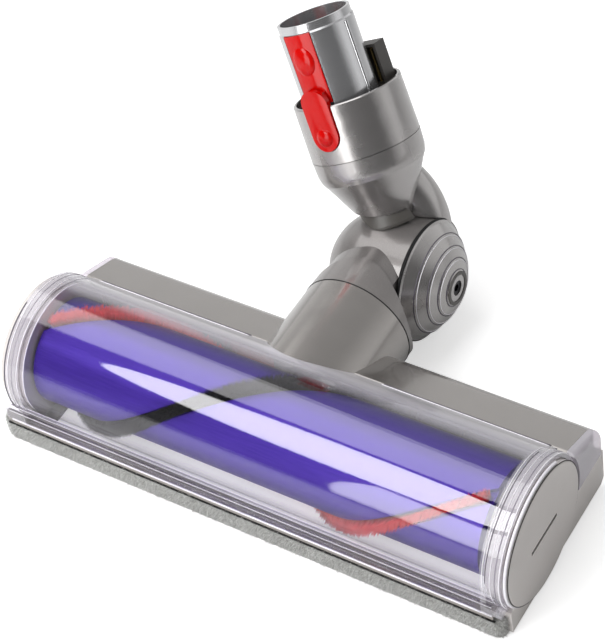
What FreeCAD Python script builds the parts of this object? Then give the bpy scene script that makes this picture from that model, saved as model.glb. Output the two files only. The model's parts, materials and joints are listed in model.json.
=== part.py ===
import FreeCAD, Part
import math
import os

# Motorized floor head of a stick vacuum, in millimetres.
# +X points to the lock-disc end, +Y to the rear, +Z up, and the floor is z = 0.
# Shapes are drawn with y = 0 on the brush axis and x = 0 on the neck root's axis.
# They are shifted along X and Y when they are written, so that the origin is the
# bottom centre of the whole part's box.
# Three frames hang on the neck: the knuckle frame at the pivot centre, the pitch
# frame turned about the pivot axis, and the upper neck's frame, which also leans.

V = FreeCAD.Vector
AX = V(1, 0, 0)
AY = V(0, 1, 0)
AZ = V(0, 0, 1)
FAR = 400.0                 # long enough to cut through everything

# Overall
HALF_LEN = 125.0            # outer face of the lock disc
LEFT_SET = 2.5              # the left end stands in by this
SHIFT_X = 2.0               # from the middle of the brush to the middle of the box
SHIFT_Y = -59.99            # from the brush axis to the middle of the box
BRUSH_Z = 31.7              # brush axis above the floor

# Fits and seams
RUN = 0.05                  # radial running clearance of shafts, hinges and swivels
GAP = 0.35                  # visible gap round pieces that move
SEAM = 0.3                  # seam between fixed pieces

# Clear cover
COVER_R = 32.3
COVER_WALL = 2.0
COVER_END_X = 122.0         # outer face of the end rims
RIM_R = 32.8
RIM_W = 6.4
RIM_IN_R = 30.95
RIM_STEP_W = 2.5            # lower shoulder beside each rim
RIM_FROM_DEG = -14.0        # the rims run from the rear, over the top, to the front lip
RIM_TO_DEG = 212.0
COVER_REAR_Y = 31.4         # rear edge, where the cover meets the bar
COVER_REAR_Z = 45.5
LIP_Y = -33.3               # front face of the lip
LIP_Z = 14.3                # lower edge of the clear lip
LIP_H = 7.5
LIP_T = 5.7
LIP_FOOT_H = 4.0
LIP_LEFT_X = 127.0          # the lip runs past the left rim to here
LIP_CORNER_R = 4.5
RIB_COUNT = 3
RIB_PITCH = 2.4
RIB_T = 1.1
RIB_H = 0.5
BOSS_R = 4.2
BOSS_SET = 3.6              # boss centre behind the lip face
BOSS_X = 112.0

# Rear bar and neck root
BAR_END_X = 120.0
CHAMBER_R = 30.9
BAR_BACK_Y = 54.5
BAR_ARC_R = 9.5
BAR_ARC_Z = 30.5
BAR_BOTTOM_Z = 4.0
BAR_EDGE = 2.5              # lower rear chamfer
BAR_WALL = 2.4
NECK_R = 26.4
NECK_Z = 30.2
NECK_FRONT_Y = 18.0
SEAM_Y = 67.0               # swivel seam
DUCT_R = 20.5
SPIGOT_R = 23.9
SPIGOT_FRONT_Y = 52.0
RETAINER_R = 25.2
RETAINER_LEN = 3.6
RETAINER_SET = 0.6          # groove behind the spigot's front edge
RETAINER_DEPTH = 1.2
RETAINER_GAP = 4.0
ROOT_BORE_Y = 57.0          # where the running bore starts

# Sole
SOLE_Z = 2.0
SOLE_X = 118.0
SOLE_FRONT_Y = -31.5
SOLE_REAR_Y = 52.0
MOUTH_X = 110.0
MOUTH_FRONT_Y = -25.5
MOUTH_REAR_Y = 22.0
SOLE_BAR_TOP_Z = 11.2
FLANGE_Z = 11.0             # underside of the grey lip
SOLE_SCREW_X = 100.0
SOLE_SCREW_IN_X = 40.0
SOLE_SCREW_Y = 30.0
SCREW_HEAD_R = 2.7
SCREW_HEAD_T = 1.2
SCREW_SHANK_R = 1.4
SCREW_LEN = 7.0
SCREW_SLOT_W = 0.7

# Pile strip
PILE_X = 122.0
PILE_Y = -33.4
PILE_BACK_Y = -29.2
PILE_TOP_Z = 10.6
PILE_CORNER_R = 4.0
PILE_LEFT_X = 129.0         # the strip turns the left corner
PILE_LEFT_R = 6.5
PILE_ARM_X = 122.5
PILE_ARM_Y = -26.4

# Side panels and clear end pieces
PANEL_IN_X = 118.3
PANEL_OUT_X = 124.0
PANEL_HUB_X = 114.0         # inner face of the round hub
PANEL_BOTTOM_Z = 2.4
PANEL_TOE_Z = 0.8
PANEL_TOE_Y = -8.0
PANEL_STEP_Z = 22.2         # lower edge of the clear end piece
PANEL_CORNER_R = 2.5
WINDOW_OUT_X = 124.3
WINDOW_EDGE_R = 2.6

# Lock disc
DISC_R = 30.6
DISC_T = 2.5
DISC_EDGE_R = 0.6
SLOT_LEN = 22.0
SLOT_W = 1.9
SLOT_D = 1.8
LOCK_HUB_R = 12.0
SPINDLE_R = 4.0
SPINDLE_LEN = 16.0

# Brush
BARREL_R = 24.2
BARREL_IN_R = 18.0
BARREL_X = 108.0            # right end
BARREL_LEFT_X = 110.0
GROOVE_D = 2.8
GROOVE_W = 7.0
BRISTLE_R = 29.6
BRISTLE_T = 3.0
SOFT_R = 29.9
SOFT_T = 4.2
HELIX_DEG_PER_MM = 1.65
RED_REF_X = 75.0            # where the red strip stands at REF_DEG
SOFT_REF_X = -48.0          # where the soft strip stands at REF_DEG
REF_DEG = 20.0              # above the front horizontal
STRIP_END = 2.0             # strips stop short of the barrel's ends
STRIP_STEPS = 14
PLUG_LEN = 9.0
BEARING_R = 9.0
BEARING_LEN = 5.0
PLUG_BORE = 1.5             # plug clears the spindle by this

# Drive inside the brush
SLEEVE_R = 16.4
SLEEVE_IN_R = 14.0
SLEEVE_END_X = -50.0
SLEEVE_FLOOR = 2.0
MOTOR_LEN = 48.0
GEAR_LEN = 15.4
SHAFT_R = 3.0
SHAFT_SINK = 5.6            # shaft inside the gearbox
HUB_T = 9.0
HUB_GAP = 4.0
CAN_EDGE = 1.0

# Wheels
WHEEL_R = 6.5
WHEEL_W = 9.0
WHEEL_X = 62.0
WHEEL_Y = 43.5
WHEEL_EDGE = 0.8
AXLE_R = 1.5
AXLE_LEN = 17.0
WELL_GAP = 0.9
WELL_WALL = 3.0

# Swivel knuckle
PIVOT_Y = 102.5
TWIST_DEG = 4.0             # the neck stands twisted by this
PITCH_DEG = 72.8            # upper neck above level
LEAN_DEG = 21.25            # upper neck leans away from the ribbed cap
BALL_R = 27.4
BALL_X = -3.0
BALL_FACE_X = 15.7
SADDLE_R = 32.8             # the collar ends on this cylinder round the pivot
CORE_R = 25.0
PIVOT_SPIGOT_R = 15.0
PIVOT_SPIGOT_X = 5.0
PIVOT_SPIGOT_WALL = 2.5
PORT_R = 10.0
BALL_DUCT_R = 17.5

# Upper neck, measured along its own axis from the pivot centre
NECK_OFF_X = 4.5
NECK_OFF_Y = 4.0
TUBE_OFF = 5.0              # the tube stands this far forward of the cuff's axis
PIVOT_CLEAR_R = 27.8
HUB_FACE_X = 16.1
CONE_FOOT_T = 24.0
CONE_FOOT_R = 11.4
CONE_WAIST_T = 28.0
CONE_WAIST_R = 13.0
CONE_SHOULDER_T = 46.2
CONE_SHOULDER_R = 22.3
BAND_FOOT_T = 48.8
BAND_FOOT_R = 23.9
BAND_T = 52.0
BAND_R = 24.7
CONE_TOP_T = 59.6
CONE_TOP_R = 25.0
CONE_CUT_H = 31.4           # the cone's foot is cut by a sloping plane
CONE_CUT_SLOPE = 0.19
COLLAR_TOP_R = 12.6         # dark collar between cone and ball
COLLAR_FOOT_R = 15.7
COLLAR_FOOT_T = 25.0
ARM_R = 11.0
ARM_TOP = (-9.0, 7.0, 44.0)     # the arm's centre line is the arc through these
ARM_MID = (3.4, 14.5, 29.0)
ARM_FOOT = (8.6, 14.0, 14.0)
AIR_R = 11.5
AIR_TOP_R = 20.5
CUFF_TOP_T = 85.5
CUFF_TOP_R = 24.6
CUFF_WALL = 1.4
CUFF_FLOOR = 2.4
CUFF_EDGE = 0.5
CUFF_SEAM = 0.25
CUFF_STEP_R = 20.3
CUFF_STEP = 1.6
TUBE_R = 16.85
TUBE_BORE_R = 15.0
TUBE_TOP_T = 121.6
TUBE_SEAT = 1.2
TUBE_LAND_R = 16.35         # slimmer land at the mouth, which leads the socket on
TUBE_LAND = 3.4
TUBE_LEAD = 0.8             # bevel from the land down to the tube
TUBE_RIB_R = 0.9
TUBE_RIB_DEG = 85.0
TUBE_RIB_SHORT = 5.0        # the ribs stop short of the mouth

# Ribbed pivot cap: terraces cut from a dome
CAP_BASE_X = 17.6
CAP_BASE_R = 27.6
CAP_DOME_R = 32.4
CAP_DOME_X = 0.3
CAP_STEPS = 5
CAP_STEP_R = 4.75
CAP_EDGE = 0.9
CAP_DROP = 0.8
CAP_FACE_X = 31.5
CAP_WALL = 2.2
POST_R = 5.2
RING_R = 7.9
RING_IN_R = 6.2
RING_T = 1.2
RING_PROUD = 0.3
CAP_SCREW_R = 3.5
CAP_SCREW_T = 2.4
CAP_SCREW_SINK = 0.5
CAP_SHANK_R = 1.6
STAR_R = 1.7
STAR_D = 1.1

# Connector
CONN_HALF = 16.6
CONN_BACK = 19.8
CONN_FRONT = 12.2
CONN_TOP_T = 101.0
CONN_WALL = 1.3
CONN_FIT = 0.65
CONN_RECESS_T = 82.5
PIN_R = 0.55
PIN_X = 11.0
PIN_SPAN = 1.3
PIN_TOP_T = 98.2
PIN_BACK = 17.9

# Release catch
CATCH_HALF_DEG = 24.0
CATCH_SIDE_DEG = 1.4
CATCH_T0 = 86.4
CATCH_T1 = 117.8
CATCH_SKIN = 1.3
WINDOW_SINK = 1.5
PAD_T = 106.0
PAD_HALF_W = 5.2
PAD_HALF_H = 7.0
PAD_OUT = 1.2
PAD_SINK = 0.9
BUTTON_T0 = 66.2
BUTTON_T1 = 94.0
BUTTON_R = 6.7
BUTTON_OUT = 1.1
BUTTON_SINK = 1.3
BUTTON_SLOT_Y = -12.0
BUMP_T = 72.5
BUMP_R = 4.2
BUMP_OUT = 1.3
BRIDGE_INSET = 1.2
BRIDGE_TOP = 2.0
CATCH_PIN_R = 0.6
CATCH_PIN_T = 116.0
CATCH_PIN_Y = -15.2
CATCH_PIN_X = 7.7
CATCH_PIN_LEN = 1.6


def box(x0, x1, y0, y1, z0, z1):
    return Part.makeBox(x1 - x0, y1 - y0, z1 - z0, V(x0, y0, z0))


def rod_x(r, x0, x1, y=0.0, z=0.0):
    return Part.makeCylinder(r, x1 - x0, V(x0, y, z), AX)


def rod_y(r, y0, y1, x=0.0, z=0.0):
    return Part.makeCylinder(r, y1 - y0, V(x, y0, z), AY)


def rod_z(r, z0, z1, x=0.0, y=0.0):
    return Part.makeCylinder(r, z1 - z0, V(x, y, z0), AZ)


def tunnel(r, x0=-FAR, x1=FAR):
    """A cylinder about the brush axis."""
    return rod_x(r, x0, x1, 0.0, BRUSH_Z)


def on_circle(r, deg, cy=0.0, cz=BRUSH_Z):
    """Point (y, z) on a circle in the YZ plane: 0 is to the rear, 90 is up."""
    a = math.radians(deg)
    return (cy + r * math.cos(a), cz + r * math.sin(a))


def outline_x(start, path, x0, x1):
    """A closed outline of lines and true arcs in the YZ plane, drawn out along X.

    Each step of the path is an end point, or a (point on the arc, end point) pair."""
    edges = []
    at = V(x0, start[0], start[1])
    for step in path + [start]:
        if isinstance(step[0], tuple):
            mid = V(x0, step[0][0], step[0][1])
            end = V(x0, step[1][0], step[1][1])
            edges.append(Part.Arc(at, mid, end).toShape())
        else:
            end = V(x0, step[0], step[1])
            edges.append(Part.makeLine(at, end))
        at = end
    return Part.Face(Part.Wire(edges)).extrude(V(x1 - x0, 0, 0))


def sides(side, a, b):
    """Two X positions on one side of the middle plane, in rising order."""
    return tuple(sorted((side * a, side * b)))


def end_x(side, x):
    """X of an end face: the left end is the right one mirrored and set in."""
    return x if side > 0 else LEFT_SET - x


def end_sides(side, a, b):
    return tuple(sorted((end_x(side, a), end_x(side, b))))


def revolve_x(profile):
    loop = [V(x, r, 0) for x, r in profile]
    face = Part.Face(Part.makePolygon(loop + [loop[0]]))
    return face.revolve(V(0, 0, 0), AX, 360)


def revolve_z(profile):
    loop = [V(r, 0, z) for r, z in profile]
    face = Part.Face(Part.makePolygon(loop + [loop[0]]))
    return face.revolve(V(0, 0, 0), AZ, 360)


def clean(shape):
    return shape.removeSplitter()


def one(shapes):
    out = shapes[0]
    for s in shapes[1:]:
        out = out.fuse(s)
    return clean(out)


def largest(shape):
    return sorted(shape.Solids, key=lambda s: s.Volume)[-1]


def round_edges(shape):
    return [e for e in shape.Edges if e.Curve.TypeId == "Part::GeomCircle"]


def turned(shape, steps):
    s = shape.copy()
    for axis, deg in steps:
        s.rotate(V(0, 0, 0), axis, deg)
    s.translate(V(0, PIVOT_Y, NECK_Z))
    return s


def in_knuckle(shape):
    return turned(shape, [(AY, -TWIST_DEG)])


def in_pitch(shape):
    return turned(shape, [(AX, PITCH_DEG - 90.0), (AY, -TWIST_DEG)])


def in_upper(shape):
    return turned(shape, [(AY, -LEAN_DEG), (AX, PITCH_DEG - 90.0), (AY, -TWIST_DEG)])


# Clear cover

def edge_deg():
    return math.degrees(math.atan2(COVER_REAR_Z - BRUSH_Z, COVER_REAR_Y))


def cover_in_r():
    return COVER_R - COVER_WALL


def cover_skin(x0, x1):
    """Round tunnel that runs out in a flat ramp to the bar, with a lip in front."""
    inner = cover_in_r()
    reach = math.hypot(COVER_REAR_Y, COVER_REAR_Z - BRUSH_Z)
    leave = edge_deg() + math.degrees(math.acos(COVER_R / reach))
    foot = 180.0 + math.degrees(math.asin((BRUSH_Z - LIP_Z) / inner))
    path = [on_circle(COVER_R, leave)]
    path.append((on_circle(COVER_R, (leave + 180.0) / 2), on_circle(COVER_R, 180.0)))
    path.append((LIP_Y, LIP_Z + LIP_H))
    path.append((LIP_Y, LIP_Z))
    path.append(on_circle(inner, foot))
    path.append((on_circle(inner, 120.0), on_circle(inner, edge_deg())))
    return outline_x((COVER_REAR_Y, COVER_REAR_Z), path, x0, x1)


def rim_wedge():
    """The sector below the rims, where the side panels take over."""
    a = on_circle(FAR, RIM_FROM_DEG)
    b = on_circle(FAR, RIM_TO_DEG)
    return outline_x((0.0, BRUSH_Z), [a, (FAR, -FAR), (-FAR, -FAR), b], -FAR, FAR)


def shoulder_x():
    """Where the lower shoulder beside a rim begins."""
    return COVER_END_X - RIM_W - RIM_STEP_W


def rim_zone(side, r_in, r_out, width):
    a, b = end_sides(side, COVER_END_X - width, COVER_END_X)
    return tunnel(r_out, a, b).cut(tunnel(r_in, a, b)).cut(rim_wedge())


def lip_corner():
    """The lip's rounded end, which stands out past the left rim."""
    inner_x = end_x(-1, COVER_END_X - RIM_W)
    block = box(-LIP_LEFT_X, inner_x, LIP_Y, LIP_Y + LIP_T, LIP_Z, LIP_Z + LIP_H)
    edges = []
    for e in block.Edges:
        c = e.CenterOfMass
        if abs(c.x + LIP_LEFT_X) < RUN and abs(c.y - LIP_Y) < RUN:
            edges.append(e)
    return block.makeFillet(LIP_CORNER_R, edges)


def make_cover():
    inner = cover_in_r()
    left, right = end_x(-1, COVER_END_X - RIM_W), end_x(1, COVER_END_X - RIM_W)
    parts = [cover_skin(left, right), lip_corner()]
    for side in (-1, 1):
        parts.append(rim_zone(side, RIM_IN_R, RIM_R, RIM_W))
        parts.append(rim_zone(side, inner, COVER_R + (RIM_R - COVER_R) / 2, RIM_W + RIM_STEP_W))
        a, b = end_sides(side, COVER_END_X - RIM_W, COVER_END_X)
        parts.append(box(a, b, LIP_Y, LIP_Y + LIP_T, LIP_Z, LIP_Z + LIP_FOOT_H))
    for i in range(RIB_COUNT):
        z = LIP_Z + RIB_T + RIB_PITCH * i
        parts.append(box(-BOSS_X, BOSS_X, LIP_Y - RIB_H, LIP_Y + RIB_H, z, z + RIB_T))
    for x in (-BOSS_X, 0.0, BOSS_X):
        parts.append(rod_z(BOSS_R, LIP_Z, LIP_Z + LIP_H, x, LIP_Y + BOSS_SET))
    cover = one(parts)
    cover = cover.cut(tunnel(inner, left, right))
    for side in (-1, 1):
        a, b = end_sides(side, COVER_END_X - RIM_W, FAR)
        cover = cover.cut(tunnel(RIM_IN_R, a, b))
    return clean(cover.cut(rod_y(NECK_R + SEAM, 0.0, FAR, 0.0, NECK_Z)))


# Rear housing

def bar_shape(x0, x1, inset):
    """Cross-section of the bar behind the tunnel, drawn inwards by the inset."""
    edge = edge_deg()
    y0, z0 = on_circle(CHAMBER_R + inset, edge)
    reach = math.hypot(COVER_REAR_Y, COVER_REAR_Z - BRUSH_Z) + SEAM
    y1, z1 = on_circle(reach, edge)
    z1 -= inset
    cy = BAR_BACK_Y - BAR_ARC_R
    run = math.hypot(y1 - cy, z1 - BAR_ARC_Z)
    r = BAR_ARC_R - inset
    touch = math.degrees(math.atan2(z1 - BAR_ARC_Z, y1 - cy)) - math.degrees(math.acos(r / run))
    back = BAR_BACK_Y - inset
    path = [(y1, z1), on_circle(r, touch, cy, BAR_ARC_Z)]
    path.append((on_circle(r, touch / 2, cy, BAR_ARC_Z), (back, BAR_ARC_Z)))
    path.append((back, BAR_BOTTOM_Z + BAR_EDGE))
    path.append((back - BAR_EDGE, BAR_BOTTOM_Z))
    path.append((MOUTH_REAR_Y + inset, BAR_BOTTOM_Z))
    return outline_x((y0, z0), path, x0, x1).cut(tunnel(CHAMBER_R + inset))


def well_half():
    return WHEEL_W / 2 + GAP


def make_housing():
    bar = bar_shape(end_x(-1, BAR_END_X), BAR_END_X, 0.0)
    keep_z = WHEEL_R + WHEEL_R + WELL_GAP + WELL_WALL
    for side in (-1, 1):
        a, b = end_sides(side, NECK_R + LEFT_SET + BAR_WALL, shoulder_x() - SEAM - BAR_WALL)
        pocket = bar_shape(a, b, BAR_WALL)
        half = AXLE_LEN / 2 + WELL_WALL
        pocket = pocket.cut(box(side * WHEEL_X - half, side * WHEEL_X + half, -FAR, FAR, 0.0, keep_z))
        screw_y = SOLE_SCREW_Y + SCREW_SHANK_R + BAR_WALL
        pocket = pocket.cut(box(-FAR, FAR, -FAR, screw_y, 0.0, SOLE_Z + SCREW_LEN + BAR_WALL))
        bar = bar.cut(pocket)
    root = rod_y(NECK_R, NECK_FRONT_Y, SEAM_Y - SEAM / 2, 0.0, NECK_Z).cut(tunnel(CHAMBER_R))
    root = root.cut(box(-FAR, FAR, -FAR, BAR_BACK_Y, -FAR, BAR_BOTTOM_Z))
    housing = bar.fuse(root)
    for side in (-1, 1):
        a, b = end_sides(side, shoulder_x() - SEAM, FAR)
        housing = housing.cut(tunnel(RIM_R + SEAM, a, b).cut(rim_wedge()))
    housing = housing.cut(rod_y(DUCT_R, 0.0, ROOT_BORE_Y, 0.0, NECK_Z))
    housing = housing.cut(rod_y(SPIGOT_R + RUN, ROOT_BORE_Y - GAP, FAR, 0.0, NECK_Z))
    housing = housing.cut(rod_y(RETAINER_R + GAP, SPIGOT_FRONT_Y - GAP, ROOT_BORE_Y, 0.0, NECK_Z))
    for side in (-1, 1):
        x0, x1 = side * WHEEL_X - well_half(), side * WHEEL_X + well_half()
        well = WHEEL_R + WELL_GAP
        housing = housing.cut(rod_x(well, x0, x1, WHEEL_Y, WHEEL_R))
        housing = housing.cut(box(x0, x1, WHEEL_Y - well, WHEEL_Y + well, 0.0, WHEEL_R))
        housing = housing.cut(axle_rod(side))
    for x in sole_screw_x():
        housing = housing.cut(rod_z(SCREW_SHANK_R, 0.0, SOLE_Z + SCREW_LEN, x, SOLE_SCREW_Y))
    return clean(housing)


def axle_rod(side):
    return rod_x(AXLE_R, side * WHEEL_X - AXLE_LEN / 2, side * WHEEL_X + AXLE_LEN / 2, WHEEL_Y, WHEEL_R)


def make_axles():
    return Part.makeCompound([axle_rod(-1), axle_rod(1)])


def make_wheel(side):
    x = side * WHEEL_X
    wheel = rod_x(WHEEL_R, x - WHEEL_W / 2, x + WHEEL_W / 2, WHEEL_Y, WHEEL_R)
    wheel = wheel.makeChamfer(WHEEL_EDGE, round_edges(wheel))
    return wheel.cut(rod_x(AXLE_R + RUN, x - WHEEL_W, x + WHEEL_W, WHEEL_Y, WHEEL_R))


# Sole, pile strip, side panels

def sole_screw_x():
    return (-SOLE_SCREW_X, -SOLE_SCREW_IN_X, SOLE_SCREW_IN_X, SOLE_SCREW_X)


def make_sole():
    face_y = LIP_Y + GAP / 3
    path = [(MOUTH_FRONT_Y, SOLE_Z), (MOUTH_FRONT_Y, SOLE_BAR_TOP_Z), (LIP_Y + LIP_T - SEAM, LIP_Z), (face_y, LIP_Z),
            (face_y, FLANGE_Z), (PILE_BACK_Y, FLANGE_Z), (PILE_BACK_Y, SOLE_Z)]
    left = end_x(-1, SOLE_X)
    front = outline_x((MOUTH_FRONT_Y - SEAM, SOLE_Z), path, left, SOLE_X)
    front = front.cut(tunnel(cover_in_r() + SEAM))
    plate = box(left, SOLE_X, MOUTH_FRONT_Y - SEAM, SOLE_REAR_Y, SOLE_Z, BAR_BOTTOM_Z)
    plate = plate.cut(box(-MOUTH_X, MOUTH_X, MOUTH_FRONT_Y, MOUTH_REAR_Y, 0.0, FAR))
    corner = box(-LIP_LEFT_X + LIP_CORNER_R, left, face_y, PILE_BACK_Y, FLANGE_Z, LIP_Z)
    tip = rod_z(LIP_CORNER_R, FLANGE_Z, LIP_Z, -LIP_LEFT_X + LIP_CORNER_R + SEAM, face_y + LIP_CORNER_R)
    tip = tip.common(box(-LIP_LEFT_X, left, -FAR, PILE_BACK_Y, 0.0, FAR))
    sole = one([front, plate, corner, tip])
    for side in (-1, 1):
        half = WHEEL_W / 2 + 2 * GAP + SCREW_HEAD_T
        y0 = WHEEL_Y - WHEEL_R - WELL_GAP - 2 * GAP
        sole = sole.cut(box(side * WHEEL_X - half, side * WHEEL_X + half, y0, FAR, 0.0, BAR_BOTTOM_Z + GAP))
    for x in sole_screw_x():
        sole = sole.cut(rod_z(SCREW_HEAD_R, 0.0, SOLE_Z + SCREW_HEAD_T, x, SOLE_SCREW_Y))
        sole = sole.cut(rod_z(SCREW_SHANK_R, 0.0, SOLE_Z + SCREW_LEN, x, SOLE_SCREW_Y))
    return clean(sole)


def make_sole_screws():
    out = []
    half = SCREW_SLOT_W / 2
    arm = SCREW_SHANK_R
    y = SOLE_SCREW_Y
    for x in sole_screw_x():
        screw = rod_z(SCREW_HEAD_R, SOLE_Z, SOLE_Z + SCREW_HEAD_T, x, y)
        screw = clean(screw.fuse(rod_z(SCREW_SHANK_R, SOLE_Z, SOLE_Z + SCREW_LEN, x, y)))
        cross = box(x - arm, x + arm, y - half, y + half, 0.0, SOLE_Z + SCREW_SLOT_W)
        cross = cross.fuse(box(x - half, x + half, y - arm, y + arm, 0.0, SOLE_Z + SCREW_SLOT_W))
        out.append(screw.cut(cross))
    return Part.makeCompound(out)


def make_pile():
    strip = box(-PILE_LEFT_X, PILE_X, PILE_Y, PILE_BACK_Y - RUN, 0.0, PILE_TOP_Z)
    strip = clean(strip.fuse(box(-PILE_LEFT_X, -PILE_ARM_X, PILE_Y, PILE_ARM_Y, 0.0, PILE_TOP_Z)))
    for x, r in ((PILE_X, PILE_CORNER_R), (-PILE_LEFT_X, PILE_LEFT_R)):
        corners = []
        for e in strip.Edges:
            c = e.CenterOfMass
            if abs(c.y - PILE_Y) < RUN and abs(c.x - x) < RUN:
                corners.append(e)
        strip = strip.makeFillet(r, corners)
    return strip


def panel_plate(side):
    x0, x1 = end_sides(side, PANEL_IN_X, PANEL_OUT_X)
    front = PILE_BACK_Y + SEAM
    back = BAR_BACK_Y
    path = [(PANEL_TOE_Y, PANEL_TOE_Z), (PANEL_BOTTOM_Z, PANEL_BOTTOM_Z), (back - PANEL_CORNER_R, PANEL_BOTTOM_Z)]
    path.append((back, PANEL_BOTTOM_Z + PANEL_CORNER_R))
    path.append((back, PANEL_STEP_Z))
    path.append((math.sqrt(RIM_R ** 2 - (BRUSH_Z - PANEL_STEP_Z) ** 2), PANEL_STEP_Z))
    path.append((0.0, BRUSH_Z))
    path.append((LIP_Y + LIP_T + SEAM, LIP_Z - SEAM))
    path.append((front, LIP_Z - SEAM))
    return outline_x((front, PANEL_TOE_Z), path, x0, x1)


def make_panel(side):
    panel = panel_plate(side)
    disc_back = HALF_LEN - DISC_T - GAP
    a, b = end_sides(side, PANEL_HUB_X, disc_back)
    core = tunnel(RIM_IN_R - GAP, a, b)
    core = core.cut(box(-FAR, FAR, -FAR, PILE_BACK_Y + SEAM, -FAR, LIP_Z))
    core = core.cut(box(-FAR, FAR, -FAR, FAR, -FAR, PANEL_BOTTOM_Z))
    a, b = end_sides(side, PANEL_HUB_X, SOLE_X + SEAM)
    core = core.cut(box(a, b, -FAR, FAR, -FAR, LIP_Z + RUN))
    a, b = end_sides(side, PANEL_HUB_X, COVER_END_X - RIM_W + SEAM)
    core = core.cut(tunnel(FAR, a, b).cut(tunnel(cover_in_r() - SEAM)))
    panel = panel.fuse(core)
    a, b = end_sides(side, COVER_END_X - RIM_W - SEAM, FAR)
    ring = tunnel(RIM_R + SEAM / 2, a, b).cut(tunnel(RIM_IN_R - GAP))
    panel = panel.cut(ring.cut(rim_wedge()))
    a, b = end_sides(side, disc_back, FAR)
    panel = panel.cut(tunnel(DISC_R + GAP, a, b))
    a, b = end_sides(side, PANEL_IN_X, BAR_END_X + RUN)
    behind = box(a, b, MOUTH_REAR_Y - SEAM, FAR, BAR_BOTTOM_Z - RUN, FAR)
    return panel.cut(behind.cut(tunnel(CHAMBER_R - SEAM)))


def make_panel_right():
    return clean(largest(make_panel(1).cut(tunnel(LOCK_HUB_R + RUN))))


def motor_face_x():
    return end_x(-1, PANEL_HUB_X + SLEEVE_FLOOR)


def make_panel_left():
    panel = make_panel(-1)
    a, b = end_sides(-1, HALF_LEN - DISC_T - 2 * GAP, HALF_LEN)
    panel = panel.fuse(tunnel(DISC_R, a, b))
    panel = panel.fuse(tunnel(SLEEVE_R, motor_face_x(), SLEEVE_END_X))
    return clean(largest(panel.cut(tunnel(SLEEVE_IN_R, motor_face_x(), SLEEVE_END_X + SLEEVE_FLOOR))))


def make_window(side):
    x0, x1 = end_sides(side, BAR_END_X + RUN, WINDOW_OUT_X)
    shape = bar_shape(x0, x1, 0.0).cut(tunnel(RIM_R + SEAM / 2))
    shape = shape.cut(box(-FAR, FAR, -FAR, FAR, -FAR, PANEL_STEP_Z + RUN))
    edges = []
    for e in shape.Edges:
        c = e.CenterOfMass
        outside = abs(c.x - end_x(side, WINDOW_OUT_X)) < RUN
        if outside and c.z > PANEL_STEP_Z + SEAM and c.y > RIM_R + SEAM:
            edges.append(e)
    return shape.makeFillet(WINDOW_EDGE_R, edges)


# Lock disc

def make_disc():
    disc = tunnel(DISC_R, HALF_LEN - DISC_T, HALF_LEN)
    rim = [e for e in disc.Edges if abs(e.CenterOfMass.x - HALF_LEN) < RUN]
    disc = disc.makeFillet(DISC_EDGE_R, rim)
    z0, z1 = BRUSH_Z - SLOT_W / 2, BRUSH_Z + SLOT_W / 2
    disc = disc.cut(box(HALF_LEN - SLOT_D, FAR, -SLOT_LEN / 2, SLOT_LEN / 2, z0, z1))
    return clean(disc.fuse(tunnel(LOCK_HUB_R, PANEL_HUB_X, HALF_LEN - DISC_T)))


def make_spindle():
    return tunnel(SPINDLE_R, PANEL_HUB_X - SPINDLE_LEN, PANEL_HUB_X)


# Brush

def helix_strip(ref_x, r0, r1, width, end):
    """A strip of constant width wound on the barrel, lofted through equal sections.

    The end is how far it runs past the barrel's ends."""
    x0, x1 = -BARREL_LEFT_X - end, BARREL_X + end
    wires = []
    for i in range(STRIP_STEPS + 1):
        x = x0 + (x1 - x0) * i / STRIP_STEPS
        a = math.radians(REF_DEG + HELIX_DEG_PER_MM * (x - ref_x))
        out = V(0, -math.cos(a), math.sin(a))
        along = V(0, math.sin(a), math.cos(a)) * (width / 2)
        c = V(x, 0, BRUSH_Z)
        pts = [c + out * r0 - along, c + out * r0 + along, c + out * r1 + along, c + out * r1 - along]
        wires.append(Part.makePolygon(pts + [pts[0]]))
    return Part.makeLoft(wires, True, False)


def groove_r():
    return BARREL_R - GROOVE_D


def make_barrel():
    barrel = tunnel(BARREL_R, -BARREL_LEFT_X, BARREL_X).cut(tunnel(BARREL_IN_R))
    for ref in (RED_REF_X, SOFT_REF_X):
        barrel = barrel.cut(helix_strip(ref, groove_r(), BARREL_R + GROOVE_D, GROOVE_W, RUN))
    return barrel


def make_bristles():
    return helix_strip(RED_REF_X, groove_r(), BRISTLE_R, BRISTLE_T, -STRIP_END)


def make_soft():
    return helix_strip(SOFT_REF_X, groove_r(), SOFT_R, SOFT_T, -STRIP_END)


def make_plug():
    x0 = BARREL_X - PLUG_LEN
    plug = tunnel(BARREL_IN_R, x0, BARREL_X).cut(tunnel(BEARING_R, x0, x0 + BEARING_LEN))
    return plug.cut(tunnel(SPINDLE_R + PLUG_BORE))


def make_bearing():
    x0 = BARREL_X - PLUG_LEN
    return tunnel(BEARING_R, x0, x0 + BEARING_LEN).cut(tunnel(SPINDLE_R + RUN))


def gear_end_x():
    return motor_face_x() + MOTOR_LEN + GEAR_LEN


def make_motor():
    can = tunnel(SLEEVE_IN_R, motor_face_x(), motor_face_x() + MOTOR_LEN)
    return can.makeChamfer(CAN_EDGE, round_edges(can))


def make_gearbox():
    can = tunnel(SLEEVE_IN_R, motor_face_x() + MOTOR_LEN, gear_end_x())
    return can.cut(tunnel(SHAFT_R + RUN, gear_end_x() - SHAFT_SINK - GAP, FAR))


def hub_x():
    return SLEEVE_END_X + HUB_GAP


def make_drive_hub():
    return tunnel(BARREL_IN_R, hub_x(), hub_x() + HUB_T).cut(tunnel(SHAFT_R))


def make_drive_shaft():
    return tunnel(SHAFT_R, gear_end_x() - SHAFT_SINK, hub_x() + HUB_T)


# Swivel knuckle

def spigot_y():
    return SPIGOT_FRONT_Y - PIVOT_Y


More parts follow.
